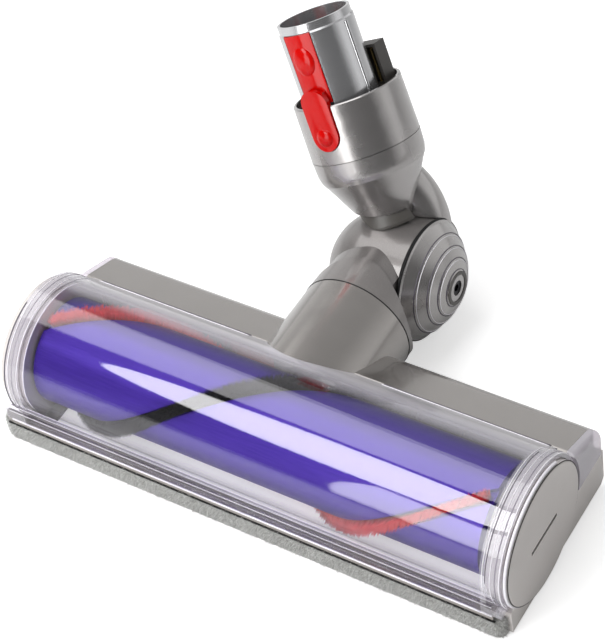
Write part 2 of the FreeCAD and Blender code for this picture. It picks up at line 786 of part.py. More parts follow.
def retainer_groove(r_out):
    y0 = spigot_y() + RETAINER_SET
    return rod_y(r_out, y0, y0 + RETAINER_LEN).cut(rod_y(SPIGOT_R - RETAINER_DEPTH, -FAR, FAR))


def air_port():
    return rod_z(PORT_R, PORT_R, CONE_SHOULDER_T, NECK_OFF_X, NECK_OFF_Y)


def make_knuckle():
    back = SEAM_Y + SEAM / 2 - PIVOT_Y
    collar = rod_y(NECK_R, back, 0.0).cut(rod_x(SADDLE_R, -FAR, FAR))
    ball = Part.makeSphere(BALL_R, V(BALL_X, 0, 0)).cut(box(BALL_X, FAR, -FAR, FAR, -FAR, FAR))
    body = one([collar, rod_y(CORE_R, back + SEAM, 0.0), ball, rod_x(BALL_R, BALL_X, BALL_FACE_X),
                rod_y(SPIGOT_R, spigot_y(), back + SEAM)])
    body = body.cut(rod_x(SADDLE_R, BALL_FACE_X, FAR))
    hollow = rod_y(DUCT_R, spigot_y() - GAP, 0.0).fuse(Part.makeSphere(DUCT_R, V(BALL_X, 0, 0)))
    hollow = hollow.fuse(rod_x(BALL_DUCT_R, BALL_X, PIVOT_SPIGOT_X))
    body = body.cut(hollow)
    body = body.cut(rod_x(PIVOT_SPIGOT_R + RUN, 0.0, FAR))
    body = in_knuckle(body.cut(retainer_groove(NECK_R)))
    return clean(largest(body.cut(in_upper(air_port()))))


def make_retainer():
    half = RETAINER_GAP / 2
    return in_knuckle(retainer_groove(RETAINER_R).cut(box(-half, half, -FAR, FAR, 0.0, FAR)))


# Upper neck

def dome_x(r):
    return CAP_DOME_X + math.sqrt(CAP_DOME_R ** 2 - r ** 2)


def cap_steps():
    """Outline (x, r) of the terraces, from the rim inwards."""
    pts = [(CAP_BASE_X, CAP_BASE_R)]
    for i in range(CAP_STEPS):
        r = CAP_BASE_R - i * CAP_STEP_R
        if i:
            pts.append((dome_x(r) - CAP_DROP, r))
        pts.append((dome_x(r) + (CAP_EDGE if i == 0 else 0.0), r - CAP_EDGE))
    return pts


def cap_top():
    return CAP_BASE_R - (CAP_STEPS - 1) * CAP_STEP_R - CAP_EDGE


def cap_envelope():
    outer = cap_steps() + [(CAP_FACE_X, cap_top()), (CAP_FACE_X, 0.0)]
    return revolve_x([(HUB_FACE_X - CAP_WALL, 0.0), (HUB_FACE_X - CAP_WALL, CAP_BASE_R)] + outer)


def make_cap():
    outer = cap_steps() + [(CAP_FACE_X, cap_top()), (CAP_FACE_X, 0.0), (CAP_FACE_X - CAP_WALL, 0.0)]
    inner = []
    for i in range(CAP_STEPS - 1, 0, -1):
        r = CAP_BASE_R - i * CAP_STEP_R
        inner.append((dome_x(r) - CAP_DROP - CAP_WALL, r - CAP_EDGE))
    inner.append((CAP_BASE_X, CAP_BASE_R - CAP_WALL))
    cap = revolve_x(outer + inner)
    cap = cap.fuse(rod_x(POST_R, CAP_BASE_X, CAP_FACE_X - CAP_WALL / 2))
    cap = cap.cut(rod_x(RING_R, CAP_FACE_X - RING_T, FAR).cut(rod_x(RING_IN_R, -FAR, FAR)))
    cap = cap.cut(rod_x(CAP_SCREW_R, CAP_FACE_X - CAP_SCREW_T, FAR))
    return clean(cap.cut(rod_x(CAP_SHANK_R, HUB_FACE_X, FAR)))


def make_cap_ring():
    return rod_x(RING_R, CAP_FACE_X - RING_T, CAP_FACE_X + RING_PROUD).cut(rod_x(RING_IN_R, -FAR, FAR))


def make_cap_screw():
    face = CAP_FACE_X - CAP_SCREW_SINK
    head = rod_x(CAP_SCREW_R, CAP_FACE_X - CAP_SCREW_T, face)
    shank = rod_x(CAP_SHANK_R, HUB_FACE_X - PIVOT_SPIGOT_WALL, CAP_FACE_X - CAP_SCREW_T)
    return clean(head.fuse(shank)).cut(rod_x(STAR_R, face - STAR_D, FAR))


def arm_pipe():
    """The bent arm that carries the upper neck round the back of the ball."""
    top, mid, foot = V(*ARM_TOP), V(*ARM_MID), V(*ARM_FOOT)
    arc = Part.Arc(top, mid, foot)
    path = Part.Wire([arc.toShape()])
    start = Part.Wire([Part.makeCircle(ARM_R, top, arc.tangent(arc.FirstParameter)[0])])
    pipe = path.makePipeShell([start], True, True)
    return pipe.fuse([Part.makeSphere(ARM_R, top), Part.makeSphere(ARM_R, foot)])


def below_cut(sink):
    """Everything under the sloping plane of the cone's foot, in the pitch frame."""
    block = box(-FAR, FAR, -FAR, 0.0, -FAR, CONE_CUT_H - sink)
    block.rotate(V(0, 0, CONE_CUT_H - sink), AY, -math.degrees(math.atan(CONE_CUT_SLOPE)))
    return block


def upper_cut(body):
    """Clear the pivoting ball and the cap's seat."""
    body = body.cut(in_pitch(rod_x(PIVOT_CLEAR_R, -FAR, HUB_FACE_X)))
    return body.cut(in_pitch(cap_envelope()))


def neck_air():
    mid = CONE_TOP_T - AIR_R
    air = rod_z(AIR_R, PORT_R, mid, NECK_OFF_X, NECK_OFF_Y)
    air = air.fuse(Part.makeCone(AIR_R, AIR_TOP_R, CONE_TOP_T - CUFF_STEP - mid, V(NECK_OFF_X, NECK_OFF_Y, mid), AZ))
    return air.fuse(rod_z(AIR_TOP_R, CONE_TOP_T - CUFF_STEP, CONE_TOP_T + GAP, NECK_OFF_X, NECK_OFF_Y))


def make_elbow():
    cone = revolve_z([(0.0, CONE_FOOT_T), (CONE_FOOT_R, CONE_FOOT_T), (CONE_WAIST_R, CONE_WAIST_T),
                      (CONE_SHOULDER_R, CONE_SHOULDER_T), (BAND_FOOT_R, BAND_FOOT_T), (BAND_R, BAND_T),
                      (CONE_TOP_R, CONE_TOP_T), (0.0, CONE_TOP_T)])
    cone.translate(V(NECK_OFF_X, NECK_OFF_Y, 0))
    cone = in_upper(cone).cut(in_pitch(below_cut(0.0)))
    body = upper_cut(cone.fuse(in_pitch(arm_pipe())))
    body = body.fuse(in_pitch(rod_x(CAP_BASE_R - GAP, HUB_FACE_X, CAP_BASE_X)))
    body = body.fuse(in_pitch(rod_x(PIVOT_SPIGOT_R, PIVOT_SPIGOT_X, HUB_FACE_X + GAP)))
    bore = PIVOT_SPIGOT_R - PIVOT_SPIGOT_WALL
    body = body.cut(in_pitch(rod_x(bore, PIVOT_SPIGOT_X - GAP, HUB_FACE_X - PIVOT_SPIGOT_WALL)))
    body = body.cut(in_pitch(rod_x(CAP_SHANK_R, 0.0, FAR)))
    return clean(largest(body.cut(in_upper(neck_air()))))


def make_collar():
    """The dark collar that closes the room between the cone's foot and the ball."""
    ring = revolve_z([(0.0, CONE_FOOT_T - CONE_CUT_SLOPE), (COLLAR_FOOT_R, CONE_FOOT_T - CONE_CUT_SLOPE),
                      (COLLAR_FOOT_R, COLLAR_FOOT_T), (COLLAR_TOP_R, CONE_CUT_H + GAP),
                      (COLLAR_TOP_R, BAND_T - COLLAR_FOOT_R), (0.0, BAND_T - COLLAR_FOOT_R)])
    ring.translate(V(NECK_OFF_X, NECK_OFF_Y, 0))
    ring = in_upper(ring).common(in_pitch(below_cut(0.0)))
    ring = ring.cut(in_pitch(arm_pipe())).cut(in_pitch(rod_x(PIVOT_CLEAR_R, -FAR, FAR)))
    return clean(largest(ring.cut(in_upper(rod_z(AIR_R, 0.0, FAR, NECK_OFF_X, NECK_OFF_Y)))))


def cuff_radius(t):
    return CONE_TOP_R + (CUFF_TOP_R - CONE_TOP_R) * (t - CONE_TOP_T) / (CUFF_TOP_T - CONE_TOP_T)


def stadium(half, t0, t1, y0, y1):
    mid = box(NECK_OFF_X - half, NECK_OFF_X + half, y0, y1, t0 + half, t1 - half)
    return one([mid, rod_y(half, y0, y1, NECK_OFF_X, t0 + half), rod_y(half, y0, y1, NECK_OFF_X, t1 - half)])


def tube_y():
    return NECK_OFF_Y - TUBE_OFF


def cuff_foot():
    return CONE_TOP_T + CUFF_SEAM


def make_cuff():
    t0 = cuff_foot()
    r0 = cuff_radius(t0)
    cuff = revolve_z([(0.0, t0), (r0, t0), (CUFF_TOP_R, CUFF_TOP_T - CUFF_EDGE), (CUFF_TOP_R - CUFF_EDGE, CUFF_TOP_T),
                      (CUFF_TOP_R - CUFF_WALL, CUFF_TOP_T), (r0 - CUFF_WALL, t0 + CUFF_FLOOR), (0.0, t0 + CUFF_FLOOR)])
    cuff.translate(V(NECK_OFF_X, NECK_OFF_Y, 0))
    cuff = cuff.fuse(rod_z(CUFF_STEP_R, CONE_TOP_T - CUFF_STEP, t0, NECK_OFF_X, NECK_OFF_Y))
    cuff = cuff.cut(rod_z(TUBE_BORE_R, 0.0, FAR, NECK_OFF_X, tube_y()))
    cuff = cuff.cut(rod_z(TUBE_R, tube_seat(), FAR, NECK_OFF_X, tube_y()))
    slot = stadium(BUTTON_R + GAP, BUTTON_T0 - GAP, FAR, -FAR, BUTTON_SLOT_Y)
    return clean(cuff.cut(slot))


def tube_seat():
    return cuff_foot() + CUFF_FLOOR - TUBE_SEAT


def rib_at(side):
    a = math.radians(TUBE_RIB_DEG)
    return NECK_OFF_X + side * TUBE_R * math.sin(a), tube_y() - TUBE_R * math.cos(a)


def catch_sector(half_deg, t0, t1, r0, r1):
    ring = rod_z(r1, t0, t1, NECK_OFF_X, tube_y()).cut(rod_z(r0, t0, t1, NECK_OFF_X, tube_y()))
    a = math.radians(half_deg)
    c = V(NECK_OFF_X, tube_y(), t0)
    reach = 2 * (r1 + TUBE_R)
    pts = [c, c + V(-reach * math.sin(a), -reach * math.cos(a), 0), c + V(reach * math.sin(a), -reach * math.cos(a), 0)]
    wedge = Part.Face(Part.makePolygon(pts + [pts[0]])).extrude(V(0, 0, t1 - t0))
    return ring.common(wedge)


def make_tube():
    tube = rod_z(TUBE_R, tube_seat(), TUBE_TOP_T, NECK_OFF_X, tube_y())
    for side in (-1, 1):
        x, y = rib_at(side)
        tube = tube.fuse(rod_z(TUBE_RIB_R, cuff_foot() + CUFF_FLOOR, TUBE_TOP_T - TUBE_RIB_SHORT, x, y))
    bevel_t = TUBE_TOP_T - TUBE_LAND - TUBE_LEAD
    kept = Part.makeCone(TUBE_R, TUBE_LAND_R, TUBE_LEAD, V(NECK_OFF_X, tube_y(), bevel_t), AZ)
    kept = kept.fuse(rod_z(TUBE_LAND_R, 0.0, FAR, NECK_OFF_X, tube_y()))
    tube = tube.cut(rod_z(TUBE_R + GAP, bevel_t, FAR, NECK_OFF_X, tube_y()).cut(kept))
    tube = tube.cut(rod_z(TUBE_BORE_R, 0.0, FAR, NECK_OFF_X, tube_y()))
    half = CATCH_HALF_DEG + CATCH_SIDE_DEG
    tube = tube.cut(catch_sector(half, CATCH_T0 - WINDOW_SINK, CATCH_T1 + GAP, TUBE_BORE_R - GAP, TUBE_R + GAP))
    reach = CATCH_PIN_X + GAP
    hole = Part.makeCylinder(CATCH_PIN_R + RUN, 2 * reach, V(NECK_OFF_X - reach, CATCH_PIN_Y, CATCH_PIN_T), AX)
    return clean(tube.cut(hole))


def ellipsoid(rx, ry, rz, at):
    m = FreeCAD.Matrix()
    m.scale(V(rx, ry, rz))
    shape = Part.makeSphere(1.0).transformGeometry(m)
    shape.translate(at)
    return shape


def make_catch():
    skin = catch_sector(CATCH_HALF_DEG, CATCH_T0, CATCH_T1, TUBE_R - CATCH_SKIN, TUBE_R)
    core = rod_z(TUBE_R - CATCH_SKIN / 2, 0.0, FAR, NECK_OFF_X, tube_y())
    pad_at = V(NECK_OFF_X, tube_y() - TUBE_R + PAD_SINK, PAD_T)
    pad = ellipsoid(PAD_HALF_W, PAD_OUT + PAD_SINK, PAD_HALF_H, pad_at).cut(core)
    face = cuff_radius(CUFF_TOP_T) + BUTTON_OUT
    back = cuff_radius(CUFF_TOP_T) - BUTTON_SINK
    plate = rod_z(face, BUTTON_T0, BUTTON_T1, NECK_OFF_X, NECK_OFF_Y)
    plate = plate.cut(rod_z(back, BUTTON_T0, BUTTON_T1, NECK_OFF_X, NECK_OFF_Y))
    button = stadium(BUTTON_R, BUTTON_T0, BUTTON_T1, -FAR, BUTTON_SLOT_Y).common(plate)
    bump_at = V(NECK_OFF_X, NECK_OFF_Y - face + BUTTON_SINK / 2, BUMP_T)
    bump = ellipsoid(BUMP_R, BUMP_OUT + BUTTON_SINK / 2, BUMP_R, bump_at)
    bump = bump.cut(rod_z(back + BUTTON_SINK / 2, 0.0, FAR, NECK_OFF_X, NECK_OFF_Y))
    half = BUTTON_R - BRIDGE_INSET
    bridge = box(NECK_OFF_X - half, NECK_OFF_X + half, -FAR, tube_y(), CATCH_T0, BUTTON_T1 - BRIDGE_TOP)
    bridge = bridge.common(rod_z(cuff_radius(CUFF_TOP_T), 0.0, FAR, NECK_OFF_X, NECK_OFF_Y))
    bridge = bridge.cut(rod_z(TUBE_R - CATCH_SKIN, 0.0, FAR, NECK_OFF_X, tube_y()))
    solid = one([skin, pad, button, bump, bridge])
    for side in (-1, 1):
        x0, x1 = sides(side, CATCH_PIN_X - CATCH_PIN_LEN, CATCH_PIN_X)
        solid = solid.fuse(rod_x(CATCH_PIN_R, NECK_OFF_X + x0, NECK_OFF_X + x1, CATCH_PIN_Y, CATCH_PIN_T))
    return clean(solid)


def make_connector():
    t0 = cuff_foot() + CUFF_FLOOR
    x0, x1 = NECK_OFF_X - CONN_HALF, NECK_OFF_X + CONN_HALF
    block = box(x0, x1, tube_y() + CONN_FRONT, tube_y() + CONN_BACK, t0, CONN_TOP_T)
    block = block.common(rod_z(CUFF_TOP_R - CUFF_WALL - CONN_FIT, 0.0, FAR, NECK_OFF_X, NECK_OFF_Y))
    block = block.cut(rod_z(TUBE_R + RUN, 0.0, FAR, NECK_OFF_X, tube_y()))
    recess = box(x0 + CONN_WALL, x1 - CONN_WALL, tube_y(), tube_y() + CONN_BACK - CONN_WALL,
                 CONN_RECESS_T, CONN_TOP_T - CONN_WALL)
    return clean(largest(block.cut(recess)))


def make_contacts():
    y = tube_y() + PIN_BACK
    out = []
    top = PIN_TOP_T - PIN_SPAN
    for side in (-1, 1):
        x = NECK_OFF_X + side * PIN_X
        bow = Part.makeTorus(PIN_SPAN, PIN_R, V(x, y, top), AY)
        reach = PIN_SPAN + 2 * PIN_R
        bow = bow.cut(box(x - reach, x + reach, y - reach, y + reach, top - reach, top))
        legs = [rod_z(PIN_R, CONN_RECESS_T, top, x - PIN_SPAN, y), rod_z(PIN_R, CONN_RECESS_T, top, x + PIN_SPAN, y)]
        out.append(one([bow] + legs))
    return Part.makeCompound(out)


def build():
    return {
        "cover": make_cover(),
        "rear_housing": make_housing(),
        "soleplate": make_sole(),
        "sole_screws": make_sole_screws(),
        "front_pile": make_pile(),
        "side_panel_right": make_panel_right(),
        "side_panel_left": make_panel_left(),
        "end_window_right": make_window(1),
        "end_window_left": make_window(-1),
        "wheel_axles": make_axles(),
        "motor": make_motor(),
        "gearbox": make_gearbox(),
        "wheel_right": make_wheel(1),
        "wheel_left": make_wheel(-1),
        "lock_disc": make_disc(),
        "lock_spindle": make_spindle(),
        "brush_barrel": make_barrel(),
        "bristle_strip": make_bristles(),
        "soft_strip": make_soft(),
        "brush_plug": make_plug(),
        "brush_bearing": make_bearing(),
        "drive_hub": make_drive_hub(),
        "drive_shaft": make_drive_shaft(),
        "knuckle": make_knuckle(),
        "swivel_retainer": make_retainer(),
        "elbow": make_elbow(),
        "neck_collar": make_collar(),
        "pivot_cap": in_pitch(make_cap()),
        "pivot_ring": in_pitch(make_cap_ring()),
        "pivot_screw": in_pitch(make_cap_screw()),
        "cuff": in_upper(make_cuff()),
        "tube": in_upper(make_tube()),
        "connector": in_upper(make_connector()),
        "contacts": in_upper(make_contacts()),
        "release_catch": in_upper(make_catch()),
    }


os.makedirs("parts", exist_ok=True)
for name, shape in build().items():
    moved = shape.copy()
    moved.translate(V(SHIFT_X, SHIFT_Y, 0))
    moved.exportStep("parts/" + name + ".step")
    b = moved.BoundBox
    size = [round(v, 1) for v in (b.XMin, b.XMax, b.YMin, b.YMax, b.ZMin, b.ZMax)]
    print(name, len(moved.Solids), moved.isValid(), round(moved.Volume), size)
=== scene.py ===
# %% [markdown]
# # Dressing a motorized vacuum floor head
# The solids come from the drawing program and are already in place, in metres.
# Blender gives them their finish: a clear moulded cover, grey plastics with metal flake,
# an anodised brush barrel, nylon bristles and a strip of short pile along the front.
# Fibres, raised lines and dark gaps are too fine for the solids, so those are made here;
# the lines and gaps are coloured with painted highlight and painted shade.

# %% Load the imported model
import json
import math

import bmesh
import bpy
import numpy as np
from mathutils import Matrix, Vector

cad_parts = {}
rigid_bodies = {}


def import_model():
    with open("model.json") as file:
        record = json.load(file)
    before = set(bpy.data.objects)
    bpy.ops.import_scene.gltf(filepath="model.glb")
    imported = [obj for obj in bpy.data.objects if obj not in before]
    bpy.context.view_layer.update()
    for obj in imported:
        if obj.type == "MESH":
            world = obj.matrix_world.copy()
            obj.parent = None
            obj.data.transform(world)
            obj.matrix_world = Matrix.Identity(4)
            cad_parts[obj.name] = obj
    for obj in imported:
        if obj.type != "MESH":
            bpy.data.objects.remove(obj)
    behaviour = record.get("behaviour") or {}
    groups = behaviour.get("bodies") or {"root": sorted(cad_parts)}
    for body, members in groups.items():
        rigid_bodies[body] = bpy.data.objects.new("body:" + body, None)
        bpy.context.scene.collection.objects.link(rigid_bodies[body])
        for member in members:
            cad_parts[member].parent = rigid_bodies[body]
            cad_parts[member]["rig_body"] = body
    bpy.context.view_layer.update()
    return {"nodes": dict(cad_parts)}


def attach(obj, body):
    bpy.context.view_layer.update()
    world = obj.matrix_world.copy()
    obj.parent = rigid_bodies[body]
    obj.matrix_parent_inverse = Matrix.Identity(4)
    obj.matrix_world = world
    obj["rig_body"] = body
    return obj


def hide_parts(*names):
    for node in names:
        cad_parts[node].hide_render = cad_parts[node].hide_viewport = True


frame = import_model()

# %% [markdown]
# The photograph was taken from the front right, looking down steeply, and tilted a little.
# A camera is a place and three directions. Turning three angles into those directions keeps
# the numbers readable: how far round, how high, and how much roll. The target is the point
# that the lens looks at, and the focal length is written in pixels of the picture's long side.

# %% Camera
MM = 0.001
SHIFT = Vector((2.0, -59.99, 0.0))      # from the brush axis to the middle of the box, in mm
TARGET = (0.0, 30.81, 69.73)            # mm about the brush axis, as every place below
DISTANCE = 852.61                       # mm
AZIMUTH, ELEVATION, ROLL = 39.19, 47.03, -11.07
FOCAL_PX, LONG_SIDE_PX = 2055.57, 640
SENSOR = 36.0                           # mm


def camera_axes(azimuth, elevation, roll):
    """Right, up and back: back points to the camera, and roll turns the other two about it."""
    a, e, r = (math.radians(v) for v in (azimuth, elevation, roll))
    back = Vector((math.sin(a) * math.cos(e), -math.cos(a) * math.cos(e), math.sin(e)))
    right = Vector((0, 0, 1)).cross(back).normalized()
    up = back.cross(right)
    return right * math.cos(r) + up * math.sin(r), up * math.cos(r) - right * math.sin(r), back


def add_camera():
    """A camera on the line from the target, with lens = focal length in pixels / long side * sensor."""
    right, up, back = camera_axes(AZIMUTH, ELEVATION, ROLL)
    data = bpy.data.cameras.new("camera")
    data.sensor_width = SENSOR
    data.lens = FOCAL_PX / LONG_SIDE_PX * SENSOR
    data.clip_start, data.clip_end = 0.01, 20.0
    camera = bpy.data.objects.new("camera", data)
    place = (Vector(TARGET) + SHIFT + back * DISTANCE) * MM
    camera.matrix_world = Matrix.Translation(place) @ Matrix((right, up, back)).transposed().to_4x4()
    bpy.context.scene.collection.objects.link(camera)
    bpy.context.scene.camera = camera
    return camera


print("lens", round(add_camera().data.lens, 2), "mm")

# %% [markdown]
# Every colour below is written as it looks on screen, in hex. Shaders work in linear light,
# so one function turns it round. A second function adds a node with its settings and links,
# which keeps each material short enough to read as a recipe. Noise crowds between 0.3 and
# 0.7, so a recipe that needs the whole range from 0 to 1 stretches that middle part.

# %% Colour and node helpers
COLOUR = {"data_type": "RGBA"}
NOISE_MIDDLE = {"From_Min": 0.3, "From_Max": 0.7}
WHITE = (1, 1, 1, 1)


def linear(hex_colour):
    """sRGB hex to linear light: c / 12.92 near black, else ((c + 0.055) / 1.055) ** 2.4."""
    parts = [int(hex_colour[i:i + 2], 16) / 255 for i in (1, 3, 5)]
    return tuple(c / 12.92 if c <= 0.04045 else ((c + 0.055) / 1.055) ** 2.4 for c in parts) + (1.0,)


def add(tree, kind, settings=None, **inputs):
    """Adds a node. Inputs go by name, _ for a space, or by place as i0, i1. Sockets link, values are set."""
    made = tree.nodes.new("ShaderNode" + kind)
    for key, value in (settings or {}).items():
        setattr(made, key, value)
    for key, value in inputs.items():
        by_place = key[0] == "i" and key[1:].isdigit()
        socket = made.inputs[int(key[1:])] if by_place else made.inputs[key.replace("_", " ")]
        if isinstance(value, bpy.types.NodeSocket):
            tree.links.new(value, socket)
        else:
            socket.default_value = value
    return made


def new_material(name):
    """An empty material, its tree, and a socket with object coordinates in metres."""
    material = bpy.data.materials.new(name)
    material.use_nodes = True
    tree = material.node_tree
    tree.nodes.clear()
    return material, tree, add(tree, "TexCoord").outputs["Object"]


def per_mm(size):
    """Noise scale for a feature of this many millimetres: features per metre."""
    return 1000.0 / size


print("mid grey in linear light", round(linear("#808080")[0], 3))

# %% [markdown]
# The grey plastics are ABS with fine aluminium flake in it, moulded against a polished tool.
# That gives a metallic body colour, sharp but soft-edged reflections, and, where the melt
# flowed round the openings, faint clouds in the gloss. Flake is 0.3 mm here, coarser than
# the real 0.05 mm, so that it shows at all.

# %% Metallic ABS
MULTIPLY, MULTIPLY_ADD = {"operation": "MULTIPLY"}, {"operation": "MULTIPLY_ADD"}
FLAKE_MM, FLOW_CLOUD_MM = 0.3, 22.0
FLAKE_SHARE, CLOUD_SHARE = 0.7, 0.3     # how much each adds to the tone
FLAKE_BUMP, FLAKE_DEPTH = 0.03, 0.0001


def flaked_abs(name, low, high, rough, metallic):
    """ABS with metal flake: two close greys mixed by flake-sized noise, gloss varied by flow clouds."""
    material, tree, where = new_material(name)
    flake = add(tree, "TexNoise", Vector=where, Scale=per_mm(FLAKE_MM), Detail=2.0).outputs["Fac"]
    cloud = add(tree, "TexNoise", Vector=where, Scale=per_mm(FLOW_CLOUD_MM), Detail=3.0).outputs["Fac"]
    cloud_part = add(tree, "Math", MULTIPLY, i0=cloud, i1=CLOUD_SHARE).outputs[0]
    tone = add(tree, "Math", MULTIPLY_ADD, i0=flake, i1=FLAKE_SHARE, i2=cloud_part).outputs[0]
    tone = add(tree, "MapRange", Value=tone, **NOISE_MIDDLE, To_Min=0.0, To_Max=1.0).outputs[0]
    grey = add(tree, "Mix", COLOUR, i0=tone, i6=linear(low), i7=linear(high)).outputs[2]
    gloss = add(tree, "MapRange", Value=cloud, **NOISE_MIDDLE, To_Min=rough * 0.85, To_Max=rough * 1.2)
    dents = add(tree, "Bump", Height=flake, Strength=FLAKE_BUMP, Distance=FLAKE_DEPTH).outputs[0]
    body = add(tree, "BsdfPrincipled", Base_Color=grey, Metallic=metallic, Roughness=gloss.outputs[0],
               Normal=dents, Coat_Weight=0.8, Coat_Roughness=0.06)
    add(tree, "OutputMaterial", Surface=body.outputs[0])
    return material


# the bar and the neck root: a warm grey with broad soft bands of light
warm_grey = flaked_abs("abs_warm_grey_metal_flake_moulded", "#8a8683", "#9e9a97", 0.22, 0.85)
# the ball: the bar's grey painted darker as painted shade, and duller, with one wide, soft light on it
shaded_ball_grey = flaked_abs("abs_ball_grey_painted_shade_metal_flake_moulded", "#757170", "#898583", 0.34, 0.5)
# cone, cuff and ribbed cap: a colder grey that catches narrow highlights
silver_grey = flaked_abs("abs_silver_grey_metal_flake_moulded", "#9d9a99", "#b3b0af", 0.26, 0.8)
# the tube: the brightest and glossiest of the greys
bright_silver = flaked_abs("abs_bright_silver_metal_flake_moulded", "#bcbcbe", "#d2d2d4", 0.22, 0.85)
print("flaked greys", [grey.name for grey in (warm_grey, shaded_ball_grey, silver_grey, bright_silver)])

# %% [markdown]
# The end panels, the lock disc and the sole are plain ABS from a spark-eroded tool: no flake,
# a satin face, and a grain of about 0.3 mm that only shows as a softer highlight. The nylon
# pieces come from the same kind of tool, and the red catch from a polished one.

# %% Satin ABS and nylon
GRAIN_MM, TONE_CLOUD_MM = 0.3, 30.0
GRAIN_DEPTH = 0.00008


def satin_abs(name, low, high, rough, grain_mm=GRAIN_MM, bump=0.12, ior=1.54):
    """Solid-coloured plastic: near-flat colour, satin roughness and a fine eroded grain."""
    material, tree, where = new_material(name)
    grain = add(tree, "TexNoise", Vector=where, Scale=per_mm(grain_mm), Detail=3.0).outputs["Fac"]
    cloud = add(tree, "TexNoise", Vector=where, Scale=per_mm(TONE_CLOUD_MM), Detail=2.0).outputs["Fac"]
    tone = add(tree, "MapRange", Value=cloud, **NOISE_MIDDLE, To_Min=0.0, To_Max=1.0).outputs[0]
    colour = add(tree, "Mix", COLOUR, i0=tone, i6=linear(low), i7=linear(high)).outputs[2]
    gloss = add(tree, "MapRange", Value=grain, **NOISE_MIDDLE, To_Min=rough * 0.9, To_Max=rough * 1.1)
    dents = add(tree, "Bump", Height=grain, Strength=bump, Distance=GRAIN_DEPTH).outputs[0]
    body = add(tree, "BsdfPrincipled", Base_Color=colour, IOR=ior, Roughness=gloss.outputs[0], Normal=dents)
    add(tree, "OutputMaterial", Surface=body.outputs[0])
    return material


# panels and lock disc: pale, even, with one soft sheen across
pale_grey = satin_abs("abs_pale_grey_spark_eroded", "#cac5c2", "#d2cdca", 0.36)
# the sole: a shade darker, and duller
sole_grey = satin_abs("abs_sole_grey_spark_eroded", "#8f8985", "#9b9591", 0.40)
# hub, plug and retainer: near black, no highlight to speak of
black_nylon = satin_abs("nylon_black_glass_filled", "#060607", "#0d0d0f", 0.6)
# electrical plug, collar, wheels: charcoal with a dull edge light; on the collar it also stands as painted
# shade at the foot of the cone
dark_nylon = satin_abs("nylon_dark_grey_glass_filled", "#45423f", "#504d49", 0.42)
# the catch: saturated, with small sharp highlights; the low index keeps the sky from paling it
red_abs = satin_abs("abs_red_high_gloss_moulded", "#b80402", "#c60704", 0.11,
                    grain_mm=1.2, bump=0.02, ior=1.36)
print("plain plastics", [made.name for made in (pale_grey, sole_grey, black_nylon, dark_nylon, red_abs)])

# %% [markdown]
# The brush barrel is an extruded aluminium tube, satin-etched and dyed purple in the anodising
# bath. The dye sits in a clear oxide layer over metal, so it is a coloured metal with a soft
# highlight, and the etch leaves faint lines along the extrusion.

# %% Metals
ETCH_DEPTH = 0.00005
EVEN_GRAIN = (1.0, 1.0, 1.0)
LINES_ALONG_X = (0.04, 1.0, 1.0)
LINES_ROUND_X = (1.0, 0.1, 0.1)


def metal(name, low, high, rough, lines=EVEN_GRAIN, grain_mm=0.4, bump=0.05, metallic=1.0):
    """A metal with a directional grain: noise stretched along the axes whose factor is small."""
    material, tree, where = new_material(name)
    along = add(tree, "Mapping", Vector=where, Scale=lines).outputs[0]
    grain = add(tree, "TexNoise", Vector=along, Scale=per_mm(grain_mm), Detail=3.0).outputs["Fac"]
    tone = add(tree, "MapRange", Value=grain, **NOISE_MIDDLE, To_Min=0.0, To_Max=1.0).outputs[0]
    colour = add(tree, "Mix", COLOUR, i0=tone, i6=linear(low), i7=linear(high)).outputs[2]
    gloss = add(tree, "MapRange", Value=grain, **NOISE_MIDDLE, To_Min=rough * 0.9, To_Max=rough * 1.15)
    dents = add(tree, "Bump", Height=grain, Strength=bump, Distance=ETCH_DEPTH).outputs[0]
    body = add(tree, "BsdfPrincipled", Base_Color=colour, Metallic=metallic, Roughness=gloss.outputs[0],
               Normal=dents)
    add(tree, "OutputMaterial", Surface=body.outputs[0])
    return material


# the barrel: deep purple with a broad pale sheen; the dyed layer hides much of the metal under it
purple = metal("aluminium_purple_anodised_extruded", "#43259f", "#4e2db0", 0.34, LINES_ALONG_X,
               grain_mm=0.5, bump=0.04, metallic=0.4)
# motor, axles and shafts: grey steel with turning marks
turned_steel = metal("steel_turned", "#9a9a9c", "#b6b6b8", 0.25, LINES_ROUND_X)
# screws: nearly black, with a metal glint
black_steel = metal("steel_black_zinc_plated", "#1d1d20", "#2b2b2f", 0.32)
# contacts: pale gold edges inside the dark plug
brass = metal("brass_pressed_bright", "#d4b573", "#ecd49a", 0.2, metallic=0.6)
print("metals", [made.name for made in (purple, turned_steel, black_steel, brass)])

# %% [markdown]
# The cover is injection-moulded clear polycarbonate, 2 mm thick and polished. A thin clear
# wall hardly bends what is behind it, so it is a mix: what comes straight through, and a
# mirror whose strength grows towards grazing angles. Mixing the two this way also lets lamp
# light into the brush chamber, which true refraction would keep dark and noisy. Where the wall
# is thick, at the end rims and on the ramp behind, the melt clouds a little: a white haze.

# %% Clear polycarbonate
SUBTRACT, ABSOLUTE = {"operation": "SUBTRACT"}, {"operation": "ABSOLUTE"}
MAXIMUM, POWER = {"operation": "MAXIMUM"}, {"operation": "POWER"}
RIM_X = 113.1                           # the rims start here, in mm on either side of the middle
RAMP_FROM, RAMP_TO = 8.0, 26.0          # the ramp behind the brush clouds over between these, in mm
RIM_HAZE, RAMP_HAZE, THICK_HAZE = 0.22, 0.72, 0.42
FACING_SHARE = 0.055                    # what a wall of two faces mirrors straight on
RIPPLE_MM = 45.0


